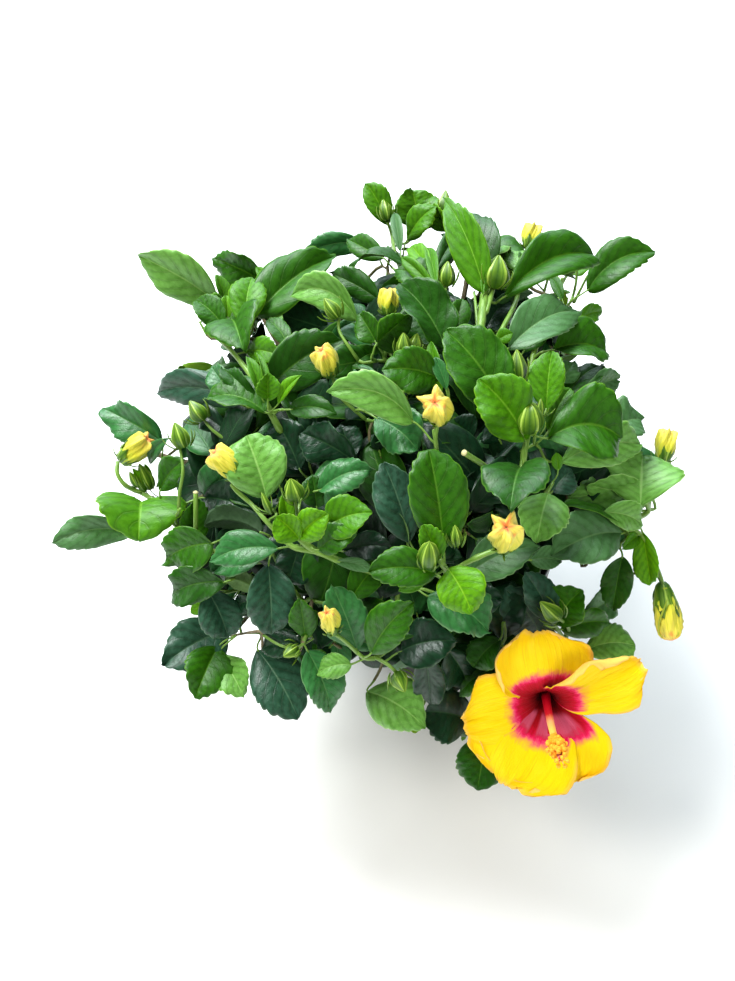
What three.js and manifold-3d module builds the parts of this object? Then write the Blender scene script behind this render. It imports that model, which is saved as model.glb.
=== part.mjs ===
// A patio hibiscus in a round nursery pot: a many-stemmed shrub about half a
// metre across, with a low open crown, a long sprig reaching out on its left
// and one large open flower low at the front right.
//
// Millimetres, +Z up. The origin is the middle of the pot's flat underside and
// the front of the plant is towards -Y.
//
// The crown is laid out on a dome. Every mass of leaves sits on the dome by
// azimuth, elevation and reach, and is a closed uneven solid that stops short
// of its neighbours, so gaps stay open between them.

import * as THREE from 'three';
import { mergeVertices } from 'three/addons/utils/BufferGeometryUtils.js';
import Module from 'manifold-3d';

const wasm = await Module();
wasm.setup();

// ---------------------------------------------------------------- dimensions
const GAP = 0.35;               // clear space left between touching solids

const POT_HEIGHT = 190;
const POT_RIM_R = 105;          // outside, at the rolled rim
const POT_NECK_R = 100;         // outside, just under the rim
const POT_BASE_R = 75;
const POT_WALL = 2.0;
const POT_FLOOR = 2.4;
const RIM_DEPTH = 20;           // height of the rolled rim band
const DRAIN_HOLES = 6;
const DRAIN_R = 6;
const DRAIN_RING_R = 52;
const MIX_TOP = 174;            // level of the potting mix

const DOME = new THREE.Vector3(-52, 5, 290);        // middle of the crown
const DOME_R = new THREE.Vector3(232, 222, 178);    // half sizes of the crown

const LEAF_FULLNESS = 1.12;     // how far the leaf masses swell towards each other
const STEM_SIDES = 6;

const FLOWER_R = 72;            // open flower, across its petals
const FLOWER_DEPTH = 30;        // throat to petal tips
const COLUMN_LEN = 62;          // staminal column ahead of the throat

// ------------------------------------------------------------------ helpers
const solids = {};              // name -> Manifold
const looks = {};               // name -> material
const order = [];

function toManifold(geometry) {
  const g = geometry.clone();
  for (const name of Object.keys(g.attributes)) if (name !== 'position') g.deleteAttribute(name);
  const merged = mergeVertices(g, 1e-3);
  const vertProperties = new Float32Array(merged.attributes.position.array);
  const triVerts = [];
  const index = merged.index.array;
  for (let i = 0; i < index.length; i += 3) {
    const [a, b, c] = [index[i], index[i + 1], index[i + 2]];
    if (a !== b && b !== c && a !== c) triVerts.push(a, b, c);
  }
  let volume = 0;
  const p = new THREE.Vector3(), q = new THREE.Vector3(), r = new THREE.Vector3();
  for (let i = 0; i < triVerts.length; i += 3) {
    p.fromArray(vertProperties, 3 * triVerts[i]);
    q.fromArray(vertProperties, 3 * triVerts[i + 1]);
    r.fromArray(vertProperties, 3 * triVerts[i + 2]);
    volume += p.dot(q.cross(r));
  }
  if (volume < 0) {
    for (let i = 0; i < triVerts.length; i += 3) {
      [triVerts[i + 1], triVerts[i + 2]] = [triVerts[i + 2], triVerts[i + 1]];
    }
  }
  return new wasm.Manifold(new wasm.Mesh({ numProp: 3, vertProperties, triVerts: new Uint32Array(triVerts) }));
}

function toGeometry(solid) {
  const mesh = solid.getMesh();
  const n = mesh.numProp;
  const position = new Float32Array((mesh.vertProperties.length / n) * 3);
  for (let i = 0; i < position.length / 3; i++) {
    for (let k = 0; k < 3; k++) position[3 * i + k] = mesh.vertProperties[n * i + k];
  }
  const g = new THREE.BufferGeometry();
  g.setAttribute('position', new THREE.BufferAttribute(position, 3));
  g.setIndex(Array.from(mesh.triVerts));
  g.computeVertexNormals();
  return g;
}

// keeps only the largest body of a solid
function largest(solid) {
  const bodies = solid.decompose();
  return bodies.length > 1 ? bodies.sort((a, b) => b.volume() - a.volume())[0] : solid;
}

function keep(name, solid, look) {
  solids[name] = solid;
  looks[name] = look;
  order.push(name);
}

function lathe(profile, segments = 40) {
  const g = new THREE.LatheGeometry(profile.map(([r, z]) => new THREE.Vector2(r, z)), segments);
  g.rotateX(Math.PI / 2);
  return toManifold(g);
}

// repeatable noise in 0..1
function noise(seed) {
  let s = (seed * 2654435761) >>> 0;
  return () => {
    s = (s + 0x6d2b79f5) >>> 0;
    let t = Math.imul(s ^ (s >>> 15), 1 | s);
    t = (t + Math.imul(t ^ (t >>> 7), 61 | t)) ^ t;
    return ((t ^ (t >>> 14)) >>> 0) / 4294967296;
  };
}

// one tapering limb along a smooth curve
function limb(points, r0, r1, grow = 0, steps = 7) {
  const curve = new THREE.CatmullRomCurve3(points.map((p) => new THREE.Vector3(...p)), false, 'centripetal');
  const frames = curve.computeFrenetFrames(steps, false);
  const position = [];
  const index = [];
  for (let i = 0; i <= steps; i++) {
    const t = i / steps;
    const c = curve.getPointAt(t);
    if (grow && i === 0) c.addScaledVector(frames.tangents[0], -grow);
    if (grow && i === steps) c.addScaledVector(frames.tangents[steps], grow);
    const r = r0 + (r1 - r0) * t + grow;
    for (let k = 0; k < STEM_SIDES; k++) {
      const a = (2 * Math.PI * k) / STEM_SIDES;
      const v = c.clone()
        .addScaledVector(frames.normals[i], r * Math.cos(a))
        .addScaledVector(frames.binormals[i], r * Math.sin(a));
      position.push(v.x, v.y, v.z);
    }
  }
  for (let i = 0; i < steps; i++) {
    for (let k = 0; k < STEM_SIDES; k++) {
      const a = i * STEM_SIDES + k;
      const b = i * STEM_SIDES + ((k + 1) % STEM_SIDES);
      index.push(a, b, b + STEM_SIDES, a, b + STEM_SIDES, a + STEM_SIDES);
    }
  }
  for (const [row, flip] of [[0, true], [steps, false]]) {
    for (let k = 1; k < STEM_SIDES - 1; k++) {
      const f = row * STEM_SIDES;
      index.push(...(flip ? [f, f + k + 1, f + k] : [f, f + k, f + k + 1]));
    }
  }
  const g = new THREE.BufferGeometry();
  g.setAttribute('position', new THREE.BufferAttribute(new Float32Array(position), 3));
  g.setIndex(index);
  return toManifold(g);
}

// --------------------------------------------------------------- the pot
const plastic = new THREE.MeshStandardMaterial({ color: 0x17181a, roughness: 0.45, metalness: 0 });
const soil = new THREE.MeshStandardMaterial({ color: 0x2e221a, roughness: 1, metalness: 0 });
const bark = new THREE.MeshStandardMaterial({ color: 0x6f5f45, roughness: 0.9, metalness: 0 });
const foliage = new THREE.MeshStandardMaterial({ color: 0x3f7a22, roughness: 0.55, metalness: 0 });
const petal = new THREE.MeshStandardMaterial({ color: 0xffd800, roughness: 0.6, metalness: 0 });

const wallAt = (z) => POT_BASE_R + ((POT_NECK_R - POT_BASE_R) * z) / (POT_HEIGHT - RIM_DEPTH);
let pot = lathe([
  [0, 0], [POT_BASE_R - 2, 0], [POT_BASE_R, 2],
  [POT_NECK_R, POT_HEIGHT - RIM_DEPTH],
  [POT_RIM_R - 1, POT_HEIGHT - RIM_DEPTH], [POT_RIM_R, POT_HEIGHT - RIM_DEPTH + 1],
  [POT_RIM_R, POT_HEIGHT - 1], [POT_RIM_R - 1, POT_HEIGHT],
  [POT_RIM_R - 2.5, POT_HEIGHT], [POT_RIM_R - 3, POT_HEIGHT - 1],
  [POT_NECK_R - POT_WALL, POT_HEIGHT - RIM_DEPTH - 1],
  [wallAt(POT_FLOOR) - POT_WALL, POT_FLOOR], [0, POT_FLOOR],
]);
for (let i = 0; i < DRAIN_HOLES; i++) {
  const a = (2 * Math.PI * i) / DRAIN_HOLES;
  const hole = lathe([[0, -2], [DRAIN_R, -2], [DRAIN_R, POT_FLOOR + 2], [0, POT_FLOOR + 2]], 10);
  pot = pot.subtract(hole.translate([DRAIN_RING_R * Math.cos(a), DRAIN_RING_R * Math.sin(a), 0]));
}
keep('pot', pot, plastic);

const innerAt = (z) => wallAt(z) - POT_WALL - 0.5;
keep('potting_mix', lathe([
  [0, POT_FLOOR + 0.4], [innerAt(POT_FLOOR) - 1, POT_FLOOR + 0.4],
  [innerAt(150), 150], [innerAt(150) + 1.5, MIX_TOP - 9], [innerAt(150) - 2, MIX_TOP - 1],
  [60, MIX_TOP], [0, MIX_TOP],
], 24), soil);

// everything of the pot, filled and grown by the clear space, to cut leaves
const potSpace = lathe([
  [0, -5], [POT_BASE_R + 4, -5], [POT_NECK_R + 4, POT_HEIGHT - RIM_DEPTH - 4],
  [POT_RIM_R + 4, POT_HEIGHT - RIM_DEPTH - 3], [POT_RIM_R + 4, POT_HEIGHT + 3], [0, POT_HEIGHT + 3],
], 18);

// --------------------------------------------------- masses of leaves
// name, azimuth, elevation, reach of the dome, half width, half height
const MASSES = [
  ['top_left_tip', 152, 34, 1.23, 42, 26],
  ['top_left', 144, 38, 0.99, 55, 42],
  ['upper_left', 150, 66, 0.93, 44, 44],
  ['left_shoulder', 179, 30, 0.92, 50, 30],
  ['left_upper', -158, 50, 0.86, 38, 36],
  ['top_back', 91, 49, 1.06, 40, 44],
  ['top_mid', 69, 43, 1.02, 41, 55],
  ['top_right', 45, 42, 1.10, 46, 40],
  ['top_right_tip', 28, 41, 1.27, 34, 28],
  ['right_upper', 9, 50, 0.95, 47, 32],
  ['centre_high', 60, 83, 0.88, 38, 42],
  ['centre_top', -42, 68, 0.88, 36, 40],
  ['centre_right', -35, 53, 0.90, 34, 38],
  ['right_shoulder', -16, 36, 0.96, 40, 38],
  ['right_mid', -26, 20, 1.01, 38, 31],
  ['right_low', -42, 18, 0.94, 40, 32],
  ['right_hang', -35, -4, 1.11, 22, 44],
  ['centre_left', -115, 68, 0.86, 42, 34],
  ['centre', -94, 56, 0.76, 36, 34],
  ['heart', -80, 42, 0.87, 36, 40],
  ['centre_low', -56, 38, 0.86, 34, 36],
  ['front_mid', -86, 22, 0.92, 44, 32],
  ['front_right_mid', -66, 21, 0.88, 36, 33],
  ['left_mid', -143, 34, 0.91, 42, 34],
  ['left_inner', -125, 46, 0.78, 38, 38],
  ['left_low', -140, 13, 0.95, 43, 32],
  ['left_front', -116, 28, 0.88, 44, 32],
  ['sprig_upper', -176, 13, 1.07, 34, 38],
  ['sprig_lower', -162, 3, 1.16, 62, 26],
  ['low_left', -139, -14, 1.03, 36, 40],
  ['low_left_tip', -129, -17, 1.17, 32, 26],
  ['low_left_mid', -118, 7, 0.92, 33, 32],
  ['low_front_left', -116, -23, 1.06, 39, 32],
  ['front_low', -100, 7, 0.92, 40, 32],
  ['front_tip', -92, -26, 1.06, 33, 26],
  ['front_under', -81, -14, 0.94, 38, 38],
  ['front_right', -50, -2, 0.99, 38, 32],
  ['front_foot', -77, -28, 1.20, 32, 36],
  ['back_left', 136, 2, 0.93, 68, 62],
  ['back', 96, 2, 0.90, 68, 68],
  ['back_right', 52, 4, 0.93, 62, 64],
  ['right_side', 8, 3, 0.92, 46, 58],
];
const seats = MASSES.map(([name, az, el, reach, wide, high]) => {
  const a = THREE.MathUtils.degToRad(az);
  const e = THREE.MathUtils.degToRad(el);
  const c = new THREE.Vector3(Math.cos(e) * Math.cos(a), Math.cos(e) * Math.sin(a), Math.sin(e))
    .multiply(DOME_R).multiplyScalar(reach).add(DOME);
  return { name, c, r: new THREE.Vector3(wide, high, high).multiplyScalar(LEAF_FULLNESS), detail: wide * high > 1250 ? 2 : 1 };
});

// the open flower: where its throat is and the way it faces
const FLOWER_AT = new THREE.Vector3(62, -211, 238);
const FLOWER_FACES = new THREE.Vector3(-0.09, -0.88, 0.47).normalize();
seats.push({ name: 'flower', c: FLOWER_AT.clone().addScaledVector(FLOWER_FACES, 14), r: new THREE.Vector3(64, 50, 56), keepOut: true });

function radiusAlong(seat, d) {
  return 1 / Math.hypot(d.x / seat.r.x, d.y / seat.r.y, d.z / seat.r.z);
}

function leafMass(seat, seed) {
  const random = noise(seed + 11);
  const lobes = Array.from({ length: 9 }, () => {
    const z = 2 * random() - 1;
    const a = 2 * Math.PI * random();
    return { d: new THREE.Vector3(Math.sqrt(1 - z * z) * Math.cos(a), Math.sqrt(1 - z * z) * Math.sin(a), z), h: 0.12 + 0.20 * random() };
  });
  const g = mergeVertices((() => {
    const ball = new THREE.IcosahedronGeometry(1, seat.detail);
    ball.deleteAttribute('normal');
    ball.deleteAttribute('uv');
    return ball;
  })(), 1e-4);
  const position = g.attributes.position;
  const d = new THREE.Vector3();
  const walls = seats.filter((o) => o !== seat && o.c.distanceTo(seat.c) < 190).map((o) => {
    const n = o.c.clone().sub(seat.c);
    const span = n.length();
    n.divideScalar(span);
    const mine = radiusAlong(seat, n);
    const theirs = radiusAlong(o, n);
    return { n, reach: (span * mine) / (mine + theirs) - GAP };
  });
  for (let i = 0; i < position.count; i++) {
    d.fromBufferAttribute(position, i).normalize();
    let r = radiusAlong(seat, d) * 0.92;
    let bump = 0;
    for (const lobe of lobes) bump += lobe.h * Math.pow(Math.max(0, d.dot(lobe.d)), 6);
    r *= 0.97 + bump + 0.12 * (random() - 0.5);
    for (const wall of walls) {
      const along = d.dot(wall.n);
      if (along > 0.02) r = Math.min(r, wall.reach / along);
    }
    d.multiplyScalar(r).add(seat.c);
    position.setXYZ(i, d.x, d.y, d.z);
  }
  return toManifold(g);
}

// --------------------------------------------------- stems and boughs
// each stem rises from the mix: foot, bend, top, foot radius, top radius
const STEMS = {
  stem_left: { path: [[-34, 8, MIX_TOP - 8], [-44, 12, 205], [-66, 18, 246]], r: [6.5, 5] },
  stem_back: { path: [[2, 34, MIX_TOP - 8], [0, 44, 206], [-8, 62, 250]], r: [6.5, 5] },
  stem_right: { path: [[38, 2, MIX_TOP - 8], [46, 2, 205], [58, 6, 248]], r: [6, 4.8] },
  stem_front: { path: [[-2, -34, MIX_TOP - 8], [-6, -44, 203], [-14, -66, 240]], r: [6.5, 5] },
};
// boughs: the stem they leave, the mass they feed, a point they bend through
const BOUGHS = [
  ['bough_top_left', 'stem_left', 'top_left', [-140, 55, 330], 4.4, 2.4],
  ['bough_left', 'stem_left', 'left_mid', [-120, -20, 308], 4.2, 2.4],
  ['bough_sprig', 'stem_left', 'sprig_upper', [-160, -8, 268], 3.8, 2.2],
  ['bough_top', 'stem_back', 'top_mid', [-2, 100, 335], 4.4, 2.4],
  ['bough_back', 'stem_back', 'back', [-30, 90, 285], 4.2, 2.6],
  ['bough_upper', 'stem_back', 'centre_high', [-30, 42, 330], 4.2, 2.4],
  ['bough_top_right', 'stem_right', 'right_upper', [72, 18, 320], 4.2, 2.4],
  ['bough_right', 'stem_right', 'right_mid', [104, -30, 300], 4.0, 2.4],
  ['bough_flower', 'stem_front', 'flower', [22, -118, 252], 3.8, 2.4],
  ['bough_front', 'stem_front', 'heart', [-22, -94, 310], 4.2, 2.4],
  ['bough_low_left', 'stem_front', 'low_left_mid', [-90, -110, 268], 3.8, 2.2],
];

const seatOf = Object.fromEntries(seats.map((s) => [s.name, s]));
const grownStems = {};
const underMix = lathe([[0, MIX_TOP - 60], [80, MIX_TOP - 60], [80, MIX_TOP + GAP], [0, MIX_TOP + GAP]], 24);
for (const [name, s] of Object.entries(STEMS)) {
  keep(name, limb(s.path, s.r[0], s.r[1], 0, 5).subtract(underMix), bark);
  grownStems[name] = limb(s.path, s.r[0], s.r[1], GAP, 5);
}

// ------------------------------------------------------------ the flower
// petals flare from the throat, five lobes round the rim, with the column
// standing out of the middle
function flower(grow = 0, segments = 30) {
  const t = 2.4 + grow;
  const profile = [
    [0, -16 - grow], [6 + grow, -15 - grow], [8 + grow, -4], [26, 9 - t], [FLOWER_R - 16, 19 - t], [FLOWER_R + grow, FLOWER_DEPTH - 9 - t / 2],
    [FLOWER_R + grow, FLOWER_DEPTH - 9 + t / 2], [FLOWER_R - 18, 21 + t], [24, 12 + t], [7 + grow, 3 + t],
    [2.6 + grow, 12], [2.2 + grow, COLUMN_LEN - 22], [6 + grow, COLUMN_LEN - 18], [5 + grow, COLUMN_LEN - 4], [0, COLUMN_LEN + grow],
  ];
  const g = new THREE.LatheGeometry(profile.map(([r, z]) => new THREE.Vector2(r, z)), segments);
  g.rotateX(Math.PI / 2);
  const position = g.attributes.position;
  for (let i = 0; i < position.count; i++) {
    const x = position.getX(i), y = position.getY(i), z = position.getZ(i);
    const r = Math.hypot(x, y);
    if (r < 20) continue;
    const a = Math.atan2(y, x);
    const w = Math.min(1, (r - 20) / 40);
    const lobe = 1 - 0.07 * w * (1 + Math.cos(5 * a - 0.4));
    const droop = -7 * w * Math.cos(a - Math.PI / 2 + Math.PI) + 4 * w * Math.sin(5 * a + 0.6);
    position.setXYZ(i, x * lobe, y * lobe, z + droop);
  }
  return toManifold(g);
}
const flowerPose = new THREE.Matrix4().makeBasis(
  new THREE.Vector3().crossVectors(new THREE.Vector3(0, 0, 1), FLOWER_FACES).normalize(),
  new THREE.Vector3().crossVectors(FLOWER_FACES, new THREE.Vector3().crossVectors(new THREE.Vector3(0, 0, 1), FLOWER_FACES).normalize()).normalize(),
  FLOWER_FACES,
).setPosition(FLOWER_AT);
const posed = (solid) => solid.transform(Array.from(flowerPose.elements));
const openFlower = posed(flower(0));
const flowerSpace = posed(flower(1.6));

// --------------------------------------------------------- join it all up
// boughs run from inside their stem to inside their mass, then both ends are
// trimmed to meet the stem and the mass face to face
const boughPath = ([, stemName, target, bend]) => {
  const path = STEMS[stemName].path;
  const top = new THREE.Vector3(...path[path.length - 1]);
  const below = new THREE.Vector3(...path[path.length - 2]);
  const start = top.clone().lerp(below, 0.25);
  const seat = seatOf[target];
  const end = target === 'flower' ? FLOWER_AT.clone().addScaledVector(FLOWER_FACES, -15) : seat.c.clone();
  return [start.toArray(), top.toArray().map((v, i) => v * 0.7 + bend[i] * 0.3), bend, end.toArray()];
};

const crown = {};
seats.filter((s) => !s.keepOut).forEach((seat, i) => {
  let solid = leafMass(seat, i);
  solid = solid.subtract(potSpace).subtract(flowerSpace);
  for (const stem of Object.values(grownStems)) solid = solid.subtract(stem);
  crown[seat.name] = solid;
});

// a bough is cut to the part outside its own mass; every other mass it passes
// is cut round it
const placed = [];
for (const row of BOUGHS) {
  const [name, , target, , r0, r1] = row;
  const path = boughPath(row);
  let body = limb(path, r0, r1, 0, 7);
  for (const stem of Object.values(grownStems)) body = body.subtract(stem);
  for (const other of placed) body = body.subtract(other.space);
  body = body.subtract(flowerSpace);
  if (crown[target]) {
    const seat = seatOf[target];
    const c = seat.c.toArray();
    const s = 1.012;
    body = body.subtract(crown[target].translate(c.map((v) => -v)).scale(s).translate(c));
  }
  body = largest(body);
  keep(name, body, bark);
  placed.push({ name, target, space: limb(path, r0, r1, GAP + 0.3, 7) });
}
for (const { target, space } of placed) {
  for (const name of Object.keys(crown)) if (name !== target) crown[name] = crown[name].subtract(space);
}
for (const [name, solid] of Object.entries(crown)) keep(`leaves_${name}`, largest(solid), foliage);
keep('flower', openFlower, petal);

// ------------------------------------------------------------ scene graph
const hibiscus = new THREE.Group();
for (const name of order) {
  const mesh = new THREE.Mesh(toGeometry(solids[name]), looks[name]);
  mesh.name = name;
  hibiscus.add(mesh);
}

export default hibiscus;
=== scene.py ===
"""The looks of the hibiscus shrub in its nursery pot.

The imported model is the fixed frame. Bark, twigs, leaves, buds, the open flower, the potting mix and the pot
are built here as meshes. Tables are in millimetres in the plant's frame; Blender gets metres.
"""

import math

import bpy
import numpy as np
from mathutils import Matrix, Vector
from mathutils.bvhtree import BVHTree


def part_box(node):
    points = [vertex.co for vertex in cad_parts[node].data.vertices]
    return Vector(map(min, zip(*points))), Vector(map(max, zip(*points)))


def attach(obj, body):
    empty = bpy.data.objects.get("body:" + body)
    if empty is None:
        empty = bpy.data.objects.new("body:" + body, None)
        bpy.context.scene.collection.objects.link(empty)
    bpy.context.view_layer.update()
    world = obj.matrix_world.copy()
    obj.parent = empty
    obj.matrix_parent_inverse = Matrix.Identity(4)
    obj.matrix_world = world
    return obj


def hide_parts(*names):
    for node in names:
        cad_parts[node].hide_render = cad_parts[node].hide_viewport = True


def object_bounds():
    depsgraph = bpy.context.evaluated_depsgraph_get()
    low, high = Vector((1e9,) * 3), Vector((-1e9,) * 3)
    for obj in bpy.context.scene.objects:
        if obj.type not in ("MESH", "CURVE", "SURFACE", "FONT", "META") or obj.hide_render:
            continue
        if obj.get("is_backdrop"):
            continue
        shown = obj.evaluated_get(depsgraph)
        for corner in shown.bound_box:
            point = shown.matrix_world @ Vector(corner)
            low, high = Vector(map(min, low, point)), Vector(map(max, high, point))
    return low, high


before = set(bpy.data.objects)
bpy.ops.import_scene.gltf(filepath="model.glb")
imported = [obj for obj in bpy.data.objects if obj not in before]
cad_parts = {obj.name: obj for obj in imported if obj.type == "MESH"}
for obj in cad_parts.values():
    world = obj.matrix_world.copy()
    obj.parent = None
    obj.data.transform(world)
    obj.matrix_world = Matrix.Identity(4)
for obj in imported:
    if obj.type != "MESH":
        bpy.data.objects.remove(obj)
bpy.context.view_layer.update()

MM = 0.001
EYE = np.array([-85.6, -559.0, 918.7])            # where the camera stands
DOWN = math.radians(50.0)                         # how far it looks down
LOOK = np.array([0.0, math.cos(DOWN), -math.sin(DOWN)])
CROWN = np.array([-52.0, 5.0, 290.0])             # middle of the crown
CROWN_R = np.array([232.0, 222.0, 178.0])         # its half sizes
MIX_TOP = 174.0

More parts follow.
